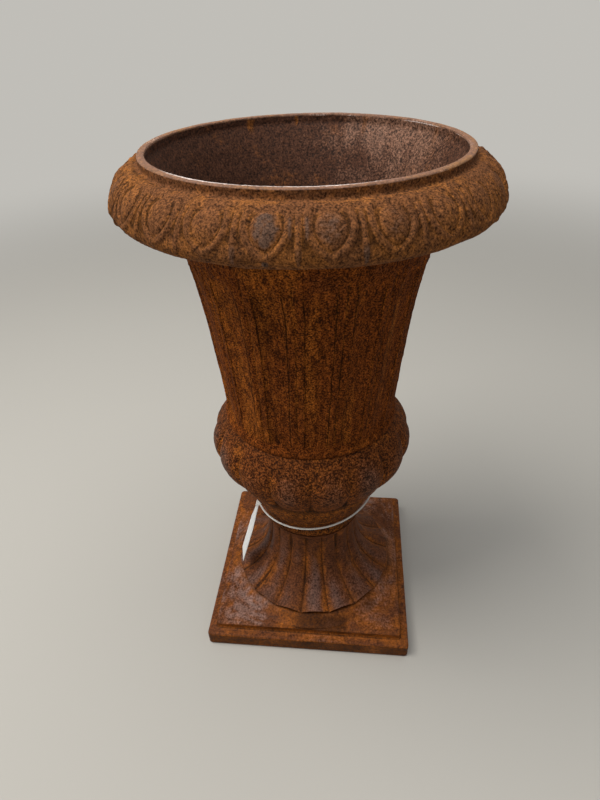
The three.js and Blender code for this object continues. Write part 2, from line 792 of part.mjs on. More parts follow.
const tieNut = mesh('tie_nut', nut(tieBoltSize), boltSteel);
tieNut.position.z = lowerWasher.position.z - seatGap;
foot.add(tieNut);

const tagSide = new THREE.Group();
tagSide.rotation.z = rad(tagTurn - 90);
tagSide.position.set(...atTurn(tagPivot, tagTurn), cordHeight);
const tagHang = new THREE.Group();
tagHang.rotation.y = -rad(Math.max(tagLean, leastLean()));
tagHang.add(mesh('tag_tie', tagTie(), whiteCord));
tagHang.add(mesh('tag_card', tagCard(), whiteCard));
tagSide.add(tagHang, mesh('tag_cord', cordLoop(), whiteCord));
urn.add(tagSide);

export default urn;
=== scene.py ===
# Rusted cast-iron urn planter: finish, carving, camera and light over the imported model.
import json
import math

import bpy
import numpy as np
from mathutils import Matrix, Vector

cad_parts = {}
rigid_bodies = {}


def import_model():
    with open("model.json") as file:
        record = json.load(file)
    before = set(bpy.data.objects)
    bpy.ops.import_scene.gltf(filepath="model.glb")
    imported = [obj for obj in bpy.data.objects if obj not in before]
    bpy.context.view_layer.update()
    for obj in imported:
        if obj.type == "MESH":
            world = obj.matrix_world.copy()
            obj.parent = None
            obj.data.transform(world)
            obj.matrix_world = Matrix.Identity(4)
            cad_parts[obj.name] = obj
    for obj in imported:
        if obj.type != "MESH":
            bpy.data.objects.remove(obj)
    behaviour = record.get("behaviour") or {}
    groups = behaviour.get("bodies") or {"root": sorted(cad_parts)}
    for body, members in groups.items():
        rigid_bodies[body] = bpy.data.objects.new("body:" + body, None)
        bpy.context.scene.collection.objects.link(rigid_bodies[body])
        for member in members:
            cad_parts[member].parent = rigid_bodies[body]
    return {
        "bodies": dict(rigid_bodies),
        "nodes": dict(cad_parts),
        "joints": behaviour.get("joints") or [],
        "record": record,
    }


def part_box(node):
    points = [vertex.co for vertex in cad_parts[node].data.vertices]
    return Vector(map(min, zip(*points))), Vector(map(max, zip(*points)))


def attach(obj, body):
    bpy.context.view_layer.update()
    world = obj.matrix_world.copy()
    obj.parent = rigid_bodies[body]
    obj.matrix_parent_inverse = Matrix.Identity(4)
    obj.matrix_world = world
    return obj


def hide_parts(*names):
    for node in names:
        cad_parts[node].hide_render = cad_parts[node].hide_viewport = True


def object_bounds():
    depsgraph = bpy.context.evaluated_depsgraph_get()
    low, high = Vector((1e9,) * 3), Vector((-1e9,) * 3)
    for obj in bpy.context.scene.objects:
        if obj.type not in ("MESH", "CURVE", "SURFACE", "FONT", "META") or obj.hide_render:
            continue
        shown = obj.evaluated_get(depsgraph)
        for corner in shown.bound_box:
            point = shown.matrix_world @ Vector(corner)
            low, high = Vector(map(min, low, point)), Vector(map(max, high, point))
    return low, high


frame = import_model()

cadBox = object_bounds()
mm = 0.001
scene = bpy.context.scene


def corners(node):
    low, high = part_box(node)
    return Vector(low), Vector(high)


def smooth(edge0, edge1, x):
    t = np.clip((x - edge0) / (edge1 - edge0), 0.0, 1.0)
    return t * t * (3.0 - 2.0 * t)


def lengthAlong(line):
    # a column with each point's distance along the line
    return np.concatenate([[0.0], np.cumsum(np.hypot(*np.diff(line, axis=0).T))])[:, None]


def evenly(line, spacing):
    line = np.array(line, dtype=float)
    run = lengthAlong(line)[:, 0]
    count = max(2, int(round(run[-1] / spacing)) + 1)
    at = np.linspace(0.0, run[-1], count)
    return np.column_stack([np.interp(at, run, line[:, 0]), np.interp(at, run, line[:, 1])])


def curveThrough(points, spacing):
    # a smooth line through (r, z) points, resampled to an even spacing
    pts = np.array(points, dtype=float)
    ends = np.vstack([2 * pts[0] - pts[1], pts, 2 * pts[-1] - pts[-2]])
    fine = []
    for i in range(1, len(ends) - 2):
        p0, p1, p2, p3 = ends[i - 1:i + 3]
        for t in np.linspace(0.0, 1.0, 24, endpoint=False):
            fine.append(0.5 * (2 * p1 + (p2 - p0) * t + (2 * p0 - 5 * p1 + 4 * p2 - p3) * t ** 2
                               + (3 * p1 - p0 - 3 * p2 + p3) * t ** 3))
    return evenly(np.vstack([fine, pts[-1:]]), spacing)


def arcLine(r0, z0, across, up, start, end, power, spacing):
    # part of an ellipse round (r0, z0), squarer where the power is under 1
    a = np.radians(np.linspace(start, end, 60))
    c, s = np.cos(a), np.sin(a)
    r = r0 + across * np.sign(c) * np.abs(c) ** power
    z = z0 + up * np.sign(s) * np.abs(s) ** power
    return evenly(np.column_stack([r, z]), spacing)


def patternOffset(turn, pitch, middle):
    # degrees from the nearest middle of a pattern that repeats every pitch degrees
    return np.mod(turn - middle + pitch / 2, pitch) - pitch / 2


def nearTurn(turn, at, wide):
    # 1 at one place round the urn, fading out to both sides
    return np.exp(-(patternOffset(turn, 360, at) / wide) ** 2)


def ribShape(turn, pitch, valley):
    # 0 on a rib's crest, 1 in the valley between two ribs
    share = np.mod(turn - valley, pitch) / pitch
    return 1.0 - np.sqrt(np.clip(1.0 - (2 * share - 1.0) ** 2, 0.0, 1.0))


class Mottle:
    # smooth noise on the unrolled surface, which meets itself all the way round
    rows = 64

    def __init__(self, seed, cellsRound, cellHeight):
        self.height = cellHeight
        self.values = np.random.default_rng(seed).uniform(-1.0, 1.0, (self.rows, cellsRound))

    def __call__(self, turn, run):
        cells = self.values.shape[1]
        x = np.mod(turn, 360.0) / 360.0 * cells
        y = run / self.height
        column = np.floor(x).astype(int)
        row = np.floor(y).astype(int)
        across = smooth(0, 1, x - column)
        up = smooth(0, 1, y - row)

        def level(at):
            line = np.mod(at, self.rows)
            left = self.values[line, np.mod(column, cells)]
            return left * (1 - across) + self.values[line, np.mod(column + 1, cells)] * across

        return level(row) * (1 - up) + level(row + 1) * up


def ironPiece(name, points, quads, materials, slots, bare, hollow):
    # a smooth mesh, with a material slot for each face and two masks that its rust reads
    mesh = bpy.data.meshes.new(name)
    mesh.from_pydata(points.reshape(-1, 3), [], quads.reshape(-1, 4))
    for material in materials:
        mesh.materials.append(material)
    mesh.polygons.foreach_set("material_index", slots)
    mesh.polygons.foreach_set("use_smooth", np.ones(len(slots), dtype=bool))
    for mask, values in (("bare", bare), ("hollow", hollow)):
        layer = mesh.attributes.new(mask, "FLOAT", "POINT")
        layer.data.foreach_set("value", values.astype(np.float32).ravel())
    mesh.update()
    piece = bpy.data.objects.new(name, mesh)
    scene.collection.objects.link(piece)
    return piece


def turnedPiece(name, stretches, steps, materials):
    # A closed outline turned round the axis. Each stretch has its line, its slot and maybe a relief:
    # function(turn, line) -> height out of the surface, the mask of bare metal and painted sheen, and
    # the hollow mask of orange rust and painted shade. Where upright is 1, the relief goes straight up
    # and down instead of along the normal.
    turn = np.arange(steps) * 360.0 / steps
    line = np.vstack([part["line"] for part in stretches])
    count = len(line)
    ahead = np.roll(line, -1, axis=0) - np.roll(line, 1, axis=0)
    long = np.maximum(np.hypot(ahead[:, 0], ahead[:, 1]), 1e-9)
    normal = np.column_stack([ahead[:, 1] / long, -ahead[:, 0] / long])
    sheets = {key: np.zeros((count, steps)) for key in ("height", "bare", "hollow")}
    slots = np.zeros(count, dtype=int)
    row = 0
    for part in stretches:
        rows = slice(row, row + len(part["line"]))
        slots[rows] = part["slot"]
        if "relief" in part:
            for key, value in part["relief"](turn[None, :], part["line"]).items():
                sheets[key][rows] = value
        row = rows.stop
    upright = np.vstack([part.get("upright", np.zeros((len(part["line"]), 1))) for part in stretches])
    r = line[:, :1] + normal[:, :1] * sheets["height"] * (1 - upright)
    z = line[:, 1:] + (normal[:, 1:] * (1 - upright) + upright) * sheets["height"]
    angle = np.radians(turn)[None, :]
    points = np.stack([r * np.sin(angle), -r * np.cos(angle), z], axis=-1)
    below = np.arange(count * steps).reshape(count, steps)
    above = np.roll(below, -1, axis=0)
    quads = np.stack([below, np.roll(below, -1, axis=1), np.roll(above, -1, axis=1), above], axis=-1)
    return ironPiece(name, points, quads, materials, np.repeat(slots, steps),
                     sheets["bare"], sheets["hollow"])


def finish(name, material):
    slots = bpy.data.objects[name].data.materials
    slots.clear()
    slots.append(material)


view = {
    "place": (0.04697, -0.54906, 0.72905),
    "heading": -0.10912,    # radians from +Y towards +X
    "down": 0.63128,
    "roll": -0.03235,
    "focal": 554.9,         # in pixels of a picture of this height
    "pixelsHigh": 800,
    "sensor": 24.0,
}


def makeCamera():
    data = bpy.data.cameras.new("camera")
    data.sensor_fit = "VERTICAL"
    data.sensor_height = view["sensor"]
    data.lens = view["focal"] / view["pixelsHigh"] * view["sensor"]
    data.clip_start = 0.01
    camera = bpy.data.objects.new("camera", data)
    scene.collection.objects.link(camera)
    q, p, r = view["heading"], view["down"], view["roll"]
    forward = Vector((math.sin(q) * math.cos(p), math.cos(q) * math.cos(p), -math.sin(p)))
    level = Vector((math.cos(q), -math.sin(q), 0.0))
    over = level.cross(forward)
    right = level * math.cos(r) + over * math.sin(r)
    up = -level * math.sin(r) + over * math.cos(r)
    turn = Matrix((right, up, -forward)).transposed()
    camera.matrix_world = Matrix.Translation(view["place"]) @ turn.to_4x4()
    scene.camera = camera


makeCamera()
print("camera set")


class Wiring:
    # Makes the nodes of one tree. An input takes a number, a colour or another node's output,
    # in the order of the node's sockets or by name.
    def __init__(self, tree):
        self.tree = tree

    def make(self, kind, *inputs, **values):
        node = self.tree.nodes.new(kind if kind.startswith("Node") else "ShaderNode" + kind)
        row, column = divmod(len(self.tree.nodes), 8)
        node.location = (column * 220, row * -320)
        for key, value in values.items():
            if hasattr(node, key):
                setattr(node, key, value)
            else:
                self.feed(node.inputs[key], value)
        for socket, value in zip(node.inputs, inputs):
            self.feed(socket, value)
        return node

    def feed(self, socket, value):
        if isinstance(value, bpy.types.NodeSocket):
            self.tree.links.new(value, socket)
        else:
            socket.default_value = value

    def math(self, operation, *inputs, **values):
        return self.make("Math", *inputs, operation=operation, **values).outputs[0]

    def times(self, a, b):
        return self.math("MULTIPLY", a, b)

    def timesPlus(self, a, b, c):
        return self.math("MULTIPLY_ADD", a, b, c)

    def ranged(self, value, low, high, toLow=0.0, toHigh=1.0, kind="SMOOTHSTEP"):
        return self.make("MapRange", value, low, high, toLow, toHigh, interpolation_type=kind).outputs[0]

    def noise(self, place, scale, detail, rough, distortion=0.0):
        return self.make("TexNoise", Vector=place, Scale=scale, Detail=detail, Roughness=rough,
                         Distortion=distortion).outputs["Fac"]

    def scaled(self, colour, amount):
        return self.make("VectorMath", colour, operation="SCALE", Scale=amount).outputs[0]

    def mix(self, factor, a, b):
        # the Mix node's colour sockets come after those for numbers and vectors
        node = self.make("Mix", factor, data_type="RGBA")
        self.feed(node.inputs[6], a)
        self.feed(node.inputs[7], b)
        return node.outputs[2]


skinColours = ("Brown", "Orange", "Dark", "Sheen")
skinNumbers = ("Grain", "Patch", "Stretch", "Contrast", "Pits")


def buildRust():
    tree = bpy.data.node_groups.new("rustSkin", "ShaderNodeTree")
    sockets = {("INPUT", "Color"): skinColours,
               ("INPUT", "Float"): skinNumbers + ("Orange share", "Sheen share"),
               ("OUTPUT", "Color"): ("Color",), ("OUTPUT", "Float"): ("Roughness", "Height")}
    for (way, kind), names in sockets.items():
        for name in names:
            tree.interface.new_socket(name=name, in_out=way, socket_type="NodeSocket" + kind)

    n = Wiring(tree)
    given = n.make("NodeGroupInput").outputs
    result = n.make("NodeGroupOutput").inputs
    place = n.make("TexCoord").outputs["Object"]
    squeeze = n.make("CombineXYZ", 1.0, 1.0, given["Stretch"]).outputs[0]
    stretched = n.make("VectorMath", place, squeeze, operation="MULTIPLY").outputs[0]
    crumbs = n.noise(place, given["Grain"], 3.0, 0.62)
    grain = n.noise(stretched, n.times(given["Grain"], 0.36), 3.0, 0.6)
    patches = n.noise(stretched, given["Patch"], 4.0, 0.55, 0.4)
    clouds = n.noise(place, n.times(given["Patch"], 0.55), 3.0, 0.5)
    pits = n.make("TexVoronoi", Vector=place, Scale=n.times(given["Grain"], 0.9), Randomness=1.0)

    # orange comes where the patches and the grain agree
    agree = n.math("ADD", n.timesPlus(grain, 0.55, patches), given["Orange share"])
    warmed = n.mix(n.ranged(agree, 0.86, 1.30), given["Brown"], given["Orange"])

    # dull metal shows on worn, clouded places, and the same sheen colour is laid on as painted highlights and
    # painted reflections where the mask of bare metal and painted sheen asks for it
    worn = n.math("ADD", n.timesPlus(crumbs, 0.6, clouds), given["Sheen share"])
    metalAndSheenShare = n.ranged(worn, 0.95, 1.40)
    metalled = n.mix(metalAndSheenShare, warmed, given["Sheen"])

    # dark pits between the crumbs
    pitRound = n.ranged(pits.outputs["Distance"], 0.46, 0.16)
    pitMask = n.times(pitRound, n.ranged(grain, 0.44, 0.56))
    pitAll = n.math("MULTIPLY", pitMask, given["Pits"], use_clamp=True)
    dotted = n.mix(pitAll, metalled, given["Dark"])

    # light and dark from crumb to crumb, but never black
    sway = n.math("ADD", n.ranged(crumbs, 0.32, 0.68, -1.0, 1.0, "LINEAR"),
                  n.ranged(grain, 0.3, 0.7, -0.45, 0.45, "LINEAR"))
    amount = n.math("MAXIMUM", n.timesPlus(sway, given["Contrast"], 1.0), 0.22)
    n.feed(result["Color"], n.scaled(dotted, amount))

    rough = n.ranged(crumbs, 0.3, 0.7, 0.64, 0.92, "LINEAR")
    n.feed(result["Roughness"], n.timesPlus(metalAndSheenShare, -0.22, rough))
    bumpy = n.timesPlus(crumbs, 0.6, grain)
    n.feed(result["Height"], n.timesPlus(pitAll, -0.5, bumpy))
    return tree


rustSkin = buildRust()


def newMaterial(name):
    material = bpy.data.materials.new(name)
    material.use_nodes = True
    return material, material.node_tree.nodes["Principled BSDF"].inputs, Wiring(material.node_tree)


def rustMaterial(name, looks):
    # one finish of rusted iron: skin colours, how strongly the painted shade in valleys, the bare metal and
    # the painted sheen show
    material, shader, n = newMaterial(name)
    hollow = n.make("Attribute", attribute_name="hollow").outputs["Fac"]
    bare = n.make("Attribute", attribute_name="bare").outputs["Fac"]
    skin = n.make("Group", node_tree=rustSkin)
    for key in skinColours:
        n.feed(skin.inputs[key], (*looks[key.lower()], 1))
    for key in skinNumbers:
        n.feed(skin.inputs[key], looks[key.lower()])
    n.feed(skin.inputs["Orange share"], n.timesPlus(hollow, looks["orangeInHollow"], looks["orangeShare"]))
    n.feed(skin.inputs["Sheen share"], n.timesPlus(bare, looks["sheenOnBare"], looks["sheenShare"]))
    # painted shade darkens the deepest lines
    deep = n.ranged(hollow, 0.75, 1.3, 1.0, looks["deepShade"])
    n.feed(shader["Base Color"], n.scaled(skin.outputs["Color"], deep))
    glossy = n.math("ADD", skin.outputs["Roughness"], looks["roughOffset"], use_clamp=True)
    n.feed(shader["Roughness"], glossy)
    bump = n.make("Bump", Strength=looks["bump"], Distance=looks["bumpDepth"], Height=skin.outputs["Height"])
    n.feed(shader["Normal"], bump.outputs[0])
    shader["Metallic"].default_value = looks["metallic"]
    shader["Specular IOR Level"].default_value = looks["specular"]
    return material


# what the finishes share, unless a finish says otherwise
rustBase = dict(
    stretch=1.0, patch=26.0, pits=0.3, sheenShare=0.0, bump=0.5, bumpDepth=0.0008, metallic=0.0,
    orangeShare=0.1)
# each finish's sheen colour is its dull bare metal and also the colour of its painted highlights and painted
# reflections
rustLooks = {
    "bellRust": dict(
        brown=(0.14, 0.035, 0.0055), orange=(0.235, 0.068, 0.009), dark=(0.016, 0.005, 0.002),
        sheen=(0.085, 0.036, 0.02), grain=600.0, patch=24.0, stretch=0.3, contrast=1.42, pits=0.62,
        orangeInHollow=0.22, sheenOnBare=0.6, deepShade=0.24, roughOffset=0.08, bump=0.7, specular=0.06),
    "rimRust": dict(
        brown=(0.14, 0.055, 0.021), orange=(0.24, 0.088, 0.021), dark=(0.034, 0.013, 0.006),
        sheen=(0.102, 0.055, 0.035), grain=640.0, contrast=0.82, pits=0.38, orangeShare=0.14,
        orangeInHollow=0.2, sheenOnBare=0.8, deepShade=0.36, roughOffset=0.1, bump=0.6,
        bumpDepth=0.0005, specular=0.07),
    "insideRust": dict(
        brown=(0.074, 0.03, 0.016), orange=(0.25, 0.085, 0.018), dark=(0.018, 0.007, 0.004),
        sheen=(0.2, 0.102, 0.064), grain=480.0, patch=22.0, contrast=0.85, pits=0.5, orangeShare=0.03,
        orangeInHollow=0.42, sheenShare=0.1, sheenOnBare=0.5, deepShade=0.8, roughOffset=-0.06,
        bump=0.8, bumpDepth=0.0009, specular=0.17),
    "lipRust": dict(
        brown=(0.2, 0.098, 0.058), orange=(0.24, 0.11, 0.04), dark=(0.08, 0.036, 0.02),
        sheen=(0.62, 0.52, 0.47), grain=500.0, patch=30.0, contrast=0.5, pits=0.35, orangeShare=0.12,
        orangeInHollow=0.3, sheenOnBare=0.75, deepShade=0.8, roughOffset=-0.1, bumpDepth=0.0005,
        specular=0.3),
    "bellyRust": dict(
        brown=(0.126, 0.036, 0.0078), orange=(0.245, 0.074, 0.01), dark=(0.015, 0.006, 0.003),
        sheen=(0.11, 0.048, 0.028), grain=500.0, patch=24.0, stretch=0.8, contrast=1.55, pits=0.75,
        orangeInHollow=0.24, sheenShare=0.02, sheenOnBare=0.34, deepShade=0.24, roughOffset=-0.04,
        bump=0.7, specular=0.08),
    "footRust": dict(
        brown=(0.112, 0.0355, 0.012), orange=(0.225, 0.066, 0.009), dark=(0.022, 0.008, 0.004),
        sheen=(0.122, 0.059, 0.042), grain=420.0, stretch=0.6, contrast=0.66, orangeInHollow=0.24,
        sheenShare=0.03, sheenOnBare=0.4, deepShade=0.3, roughOffset=-0.14, specular=0.13),
    "plinthRust": dict(
        brown=(0.126, 0.0395, 0.0125), orange=(0.255, 0.074, 0.0095), dark=(0.022, 0.008, 0.004),
        sheen=(0.22, 0.118, 0.088), grain=360.0, contrast=0.55, orangeShare=0.12, orangeInHollow=0.36,
        sheenShare=0.05, sheenOnBare=0.46, deepShade=0.26, roughOffset=-0.16, bumpDepth=0.0009,
        specular=0.12),
    "boltRust": dict(
        brown=(0.06, 0.03, 0.018), orange=(0.17, 0.062, 0.018), dark=(0.014, 0.008, 0.006),
        sheen=(0.11, 0.095, 0.085), grain=620.0, patch=90.0, contrast=0.4, pits=0.5, orangeInHollow=0.0,
        sheenShare=0.2, sheenOnBare=0.0, deepShade=1.0, roughOffset=-0.1, bumpDepth=0.0005,
        metallic=0.3, specular=0.5),
}
rust = {name: rustMaterial(name, {**rustBase, **looks}) for name, looks in rustLooks.items()}
print("rust finishes made")


bellLow, bellHigh = corners("bell_casting")
bell = {
    "lipRadius": 152.8 * mm,
    "lipWall": 7.0 * mm,
    "lipHeight": 7.0 * mm,
    "lipRound": 1.6 * mm,
    "cove": 3.2 * mm,
    "wall": 6.5 * mm,
    "ringRadius": 103.6 * mm,
    "ringHeight": 11.0 * mm,
    "footRadius": 100.2 * mm,
    "taper": 23.5 * mm,
    "flare": 3.7,
    "rimDrop": 41.0 * mm,
    "rimCurl": 8.6 * mm,
    "rimSquare": 1.2,        # above 1 the rim is flatter than a quarter ellipse
    "rimWall": 6.0 * mm,
    "flangeBore": 72.0 * mm,
    "flange": 8.0 * mm,
    "flangeFillet": 2.6 * mm,
    "eggs": 24,
    "eggTurn": 10.3,         # degrees from the front to the first egg
    "groups": 16,
    "fluteTurn": 9.75,       # degrees from the front to the middle of a wide flute
    "fluteWidth": 13.5,
    "fluteTop": 208.0 * mm,  # where a flute ends in a round arch
    "archRise": 13.0 * mm,
    "drift": 1.8,            # degrees that the flutes lean towards the foot
    "reeds": 2,
    "fluteDepth": 2.6 * mm,
    "reedHeight": 1.6 * mm,
    # rust that has run down inside: turn, half width in degrees, mm long
    "orangeRuns": [(158, 1.0, 26), (-171, 0.8, 12), (-150, 1.6, 18), (120, 1.2, 20), (60, 1.4, 22),
                   (-60, 1.2, 24)],
    "steps": 1152,
}


def bellRadius(z):
    tall = bellHigh.z - bellLow.z - bell["lipHeight"] - bell["ringHeight"]
    t = np.maximum(0.0, (z - bell["ringHeight"]) / tall)
    flare = bell["lipRadius"] - bell["footRadius"] - bell["taper"]
    return bell["footRadius"] + bell["taper"] * t + flare * t ** bell["flare"]


bellGrain = Mottle(11, 420, 2.6 * mm)
bellSwell = Mottle(12, 60, 22 * mm)
bellStreak = Mottle(13, 300, 60 * mm)


def reedRelief(turn, line):
    # two narrow reeds, then one wide hollow flute, in each of the sixteen groups
    z = line[:, 1:] - bellLow.z
    top = bell["fluteTop"]
    pitch = 360.0 / bell["groups"]
    half = bell["fluteWidth"] / 2
    drift = bell["drift"] * smooth(top - 40 * mm, bell["ringHeight"], z) + 0.35 * bellSwell(turn * 0.2, z)
    offset = patternOffset(turn + drift, pitch, bell["fluteTurn"])
    inArch = np.clip((z - top + bell["archRise"]) / bell["archRise"], 0, 1)
    width = half * np.sqrt(1 - inArch ** 2)
    flute = np.sqrt(np.clip(1 - (offset / np.maximum(width, 0.3)) ** 2, 0, 1)) * (inArch < 1)
    edge = np.exp(-((np.abs(offset) - width) / 0.42) ** 2) * (z < top + 3 * mm)
    brim = np.exp(-((np.abs(offset) - width - 1.0) / 0.7) ** 2) * (z < top + 6 * mm)
    reedWidth = (pitch - bell["fluteWidth"]) / bell["reeds"]
    within = np.mod(np.mod(offset - half, pitch), reedWidth) / reedWidth
    reeded = (np.abs(offset) > half) * (1 - smooth(top + 2 * mm, top + 10 * mm, z))
    reed = np.sqrt(np.clip(1 - (2 * within - 1) ** 2, 0, 1))
    fade = smooth(bell["ringHeight"] - 1 * mm, bell["ringHeight"] + 6 * mm, z)
    height = fade * (bell["reedHeight"] * (reed - 1) * reeded - bell["fluteDepth"] * flute + 0.5 * mm * brim)
    uneven = bellGrain(turn, z) * 0.30 * mm + bellSwell(turn, z) * 0.4 * mm
    # painted shade: the grooves between the reeds, the edges of each flute and the flute's side turned from
    # the light are darkened
    grooveShade = reeded * smooth(0.50, 0.95, np.abs(2 * within - 1)) * (0.8 + 0.35 * bellStreak(turn, z))
    shadeSide = smooth(-0.2, 0.9, -offset / half) * flute
    hollow = 0.30 * flute * (0.7 + 0.8 * bellStreak(turn * 0.37, z)) + 0.22 * bellStreak(turn, z)
    hollow = hollow + 1.20 * grooveShade + 1.05 * edge * (0.85 + 0.35 * bellStreak(turn + 7, z)) + 0.75 * shadeSide
    # painted shadow of the rim darkens the wall under it; the front left is warmer, with orange streaks and
    # painted light, and the right is duller as painted shade
    paintedRimShadow = smooth(205 * mm, 245 * mm, z)
    paintedSideLight = 0.55 * nearTurn(turn, -22, 24) - 0.6 * nearTurn(turn, 52, 34)
    hollow = hollow * fade * (1 - 0.5 * paintedRimShadow) + 0.85 * paintedRimShadow + paintedSideLight * (1 - smooth(0.5, 0.8, hollow))
    return {"height": height + uneven, "hollow": hollow}


def nearLine(x, y, points):
    # distance from each (x, y) to a line of points
    best = np.full(x.shape, np.inf)
    for (x0, y0), (x1, y1) in zip(points[:-1], points[1:]):
        dx, dy = x1 - x0, y1 - y0
        t = np.clip(((x - x0) * dx + (y - y0) * dy) / (dx * dx + dy * dy), 0, 1)
        best = np.minimum(best, np.hypot(x - x0 - t * dx, y - y0 - t * dy))
    return best


carving = {
    "eggDown": 24.5 * mm,        # the egg's middle, down the rim from its root at the lip
    "eggLength": 31.0 * mm,
    "eggWidth": 23.5 * mm,
    "eggRise": 2.9 * mm,
    "eggTaper": 0.25,            # how much narrower the egg's lower end is
    "frameBends": [(13, 8), (19.5, 21), (17, 37), (0, 46)],    # mm across and down, top to point
    "frameWidth": 7.4 * mm,
    "frameRise": 2.1 * mm,
    "dartTop": 9.0 * mm,
    "dartPoint": 55.0 * mm,
    "dartWidth": 5.6 * mm,
    "spearWidth": 7.2 * mm,
    "dartRise": 1.9 * mm,
    "knobDown": 50.0 * mm,
    "knobRise": 1.3 * mm,
    "knobRadius": 3.6 * mm,
    "sunk": 1.5 * mm,            # how far the ground between the shapes lies below the rim's line
    "proud": 1.35 * mm,          # how far the carving stands out of the rim at its widest
    "bareEggs": {-1: 1.0, 0: 0.42, 1: 0.40, 4: 0.35, 9: 0.5, 14: 0.4, 19: 0.45},
    "bareDarts": {-1: 0.62, 0: 0.3, 1: 0.68, 5: 0.5, 8: 0.6, 13: 0.5, 18: 0.6},
    "bareChannel": 0.6,          # the grooves beside the front dart
    # turn, and mm down, wide and high
    "orangeSpots": [(6, 44, 22, 16), (15, 20, 20, 12), (-9, 48, 10, 8), (24, 40, 18, 14), (-40, 30, 16, 14),
                    (80, 40, 24, 16), (150, 30, 30, 16), (-120, 36, 26, 16)],
}


def bend(points, t):
    p0, p1, p2, p3 = [np.array(p, dtype=float) for p in points]
    return p0 * (1 - t) ** 3 + 3 * p1 * t * (1 - t) ** 2 + 3 * p2 * t ** 2 * (1 - t) + p3 * t ** 3


def worn(distance, half):
    # the rounded section of a ridge whose edges have softened
    return np.clip(1 - (distance / half) ** 2, 0, 1) ** 1.25


def blended(a, b):
    # the higher of two reliefs, with a small fillet where they meet
    fillet = 0.5 * mm
    return 0.5 * (a + b + np.sqrt((a - b) ** 2 + fillet ** 2)) - fillet / 2


rimGrain = Mottle(21, 460, 2.4 * mm)
rimSwell = Mottle(22, 40, 26 * mm)
rimFade = Mottle(23, 17, 60 * mm)


def rimWorn(turn, run):
    # the carving is crisper in some places than in others
    return 0.88 + 0.16 * rimFade(turn, run)


def numbered(places, number):
    # the value that each numbered egg or dart is given, and 0 for the rest
    return sum(value * (np.mod(number - k, bell["eggs"]) == 0) for k, value in places.items())


def eggRelief(turn, line):
    c = carving
    run = lengthAlong(line)
    r = line[:, :1]
    pitch = 360.0 / bell["eggs"]
    offset = patternOffset(turn, pitch, bell["eggTurn"])
    eggNumber = np.round((turn - bell["eggTurn"] - offset) / pitch)
    dartOffset = patternOffset(turn, pitch, bell["eggTurn"] - pitch / 2)
    dartNumber = np.round((turn - bell["eggTurn"] + pitch / 2 - dartOffset) / pitch)
    x = np.radians(offset) * r
    y = np.radians(dartOffset) * r
    down = (run - c["eggDown"]) / (c["eggLength"] / 2)
    wide = c["eggWidth"] / 2 * (1 - c["eggTaper"] * np.clip(down, 0, 1) ** 1.5)
    egg = np.clip(1 - (x / wide) ** 2 - down ** 2, 0, 1) ** 0.6
    frameLine = [bend(c["frameBends"], t) * mm for t in np.linspace(0, 1, 11)]
    frame = worn(nearLine(np.abs(x), run, frameLine), c["frameWidth"] / 2)
    spear = c["dartWidth"] + (c["spearWidth"] - c["dartWidth"]) * smooth(30 * mm, 41 * mm, run)
    spear = spear * (1 - 0.75 * smooth(43 * mm, c["dartPoint"], run))
    dart = worn(np.abs(y), spear / 2) * smooth(c["dartTop"], c["dartTop"] + 7 * mm, run)
    dart = dart * (1 - smooth(c["dartPoint"] - 5 * mm, c["dartPoint"], run))
    knob = worn(np.hypot(x, (run - c["knobDown"]) / 1.25), c["knobRadius"])
    ground = smooth(5 * mm, 13 * mm, run) * (1 - smooth(52 * mm, 59 * mm, run))
    height = blended(blended(egg * c["eggRise"], frame * c["frameRise"]),
                     blended(dart * c["dartRise"], knob * c["knobRise"]))
    shape = np.clip(height / (1.4 * mm), 0, 1)

    bareEgg = numbered(c["bareEggs"], eggNumber)
    bare = bareEgg * smooth(0.15, 0.95, egg) * (0.8 + 0.5 * rimGrain(turn, run))
    bare = bare + bareEgg * (bareEgg > 0.8) * smooth(0.2, 0.7, knob)
    channel = np.exp(-((np.abs(y) - 6.0 * mm) / (1.9 * mm)) ** 2) * smooth(13 * mm, 17 * mm, run)
    bare = bare + channel * (1 - smooth(29 * mm, 35 * mm, run)) * (dartNumber == 0) * c["bareChannel"]
    bareDart = numbered(c["bareDarts"], dartNumber)
    bare = bare + bareDart * smooth(0.2, 0.7, dart) * smooth(33 * mm, 40 * mm, run)

    glow = 0.0
    for at, low, broad, high in c["orangeSpots"]:
        away = np.radians(patternOffset(turn, 360, at)) * r
        glow = glow + np.exp(-(away / (broad * mm)) ** 2 - ((run - low * mm) / (high * mm)) ** 2)
    blot = 0.5 + 0.5 * rimSwell(turn * 1.3, run)
    hollow = 0.50 * np.clip(glow, 0, 1) * (1 - 0.5 * shape) + 0.12 * blot
    # painted shade on the rim's left side
    hollow = hollow + 0.75 * nearTurn(turn, -78, 38) * (0.85 + 0.3 * rimSwell(turn, run))
    # painted shade darkens the sunk ground between the egg, its frame and the darts
    between = np.clip(1 - 1.6 * shape, 0, 1) * smooth(8 * mm, 14 * mm, run)
    between = between * (1 - 0.6 * smooth(30 * mm, 44 * mm, run)) * (1 - smooth(50 * mm, 57 * mm, run))
    hollow = hollow + 1.18 * between + 0.5 * np.exp(-(run / (4.5 * mm)) ** 2)
    uneven = rimGrain(turn, run) * 0.22 * mm + rimSwell(turn, run) * 0.5 * mm
    height = (height - ground * c["sunk"]) * rimWorn(turn, run) + uneven
    return {"height": height, "hollow": hollow, "bare": bare}


def roughRelief(grain, swell, fine, broad):
    def relief(turn, line):
        run = lengthAlong(line)
        return {"height": grain(turn, run) * fine + swell(turn, run) * broad}
    return relief


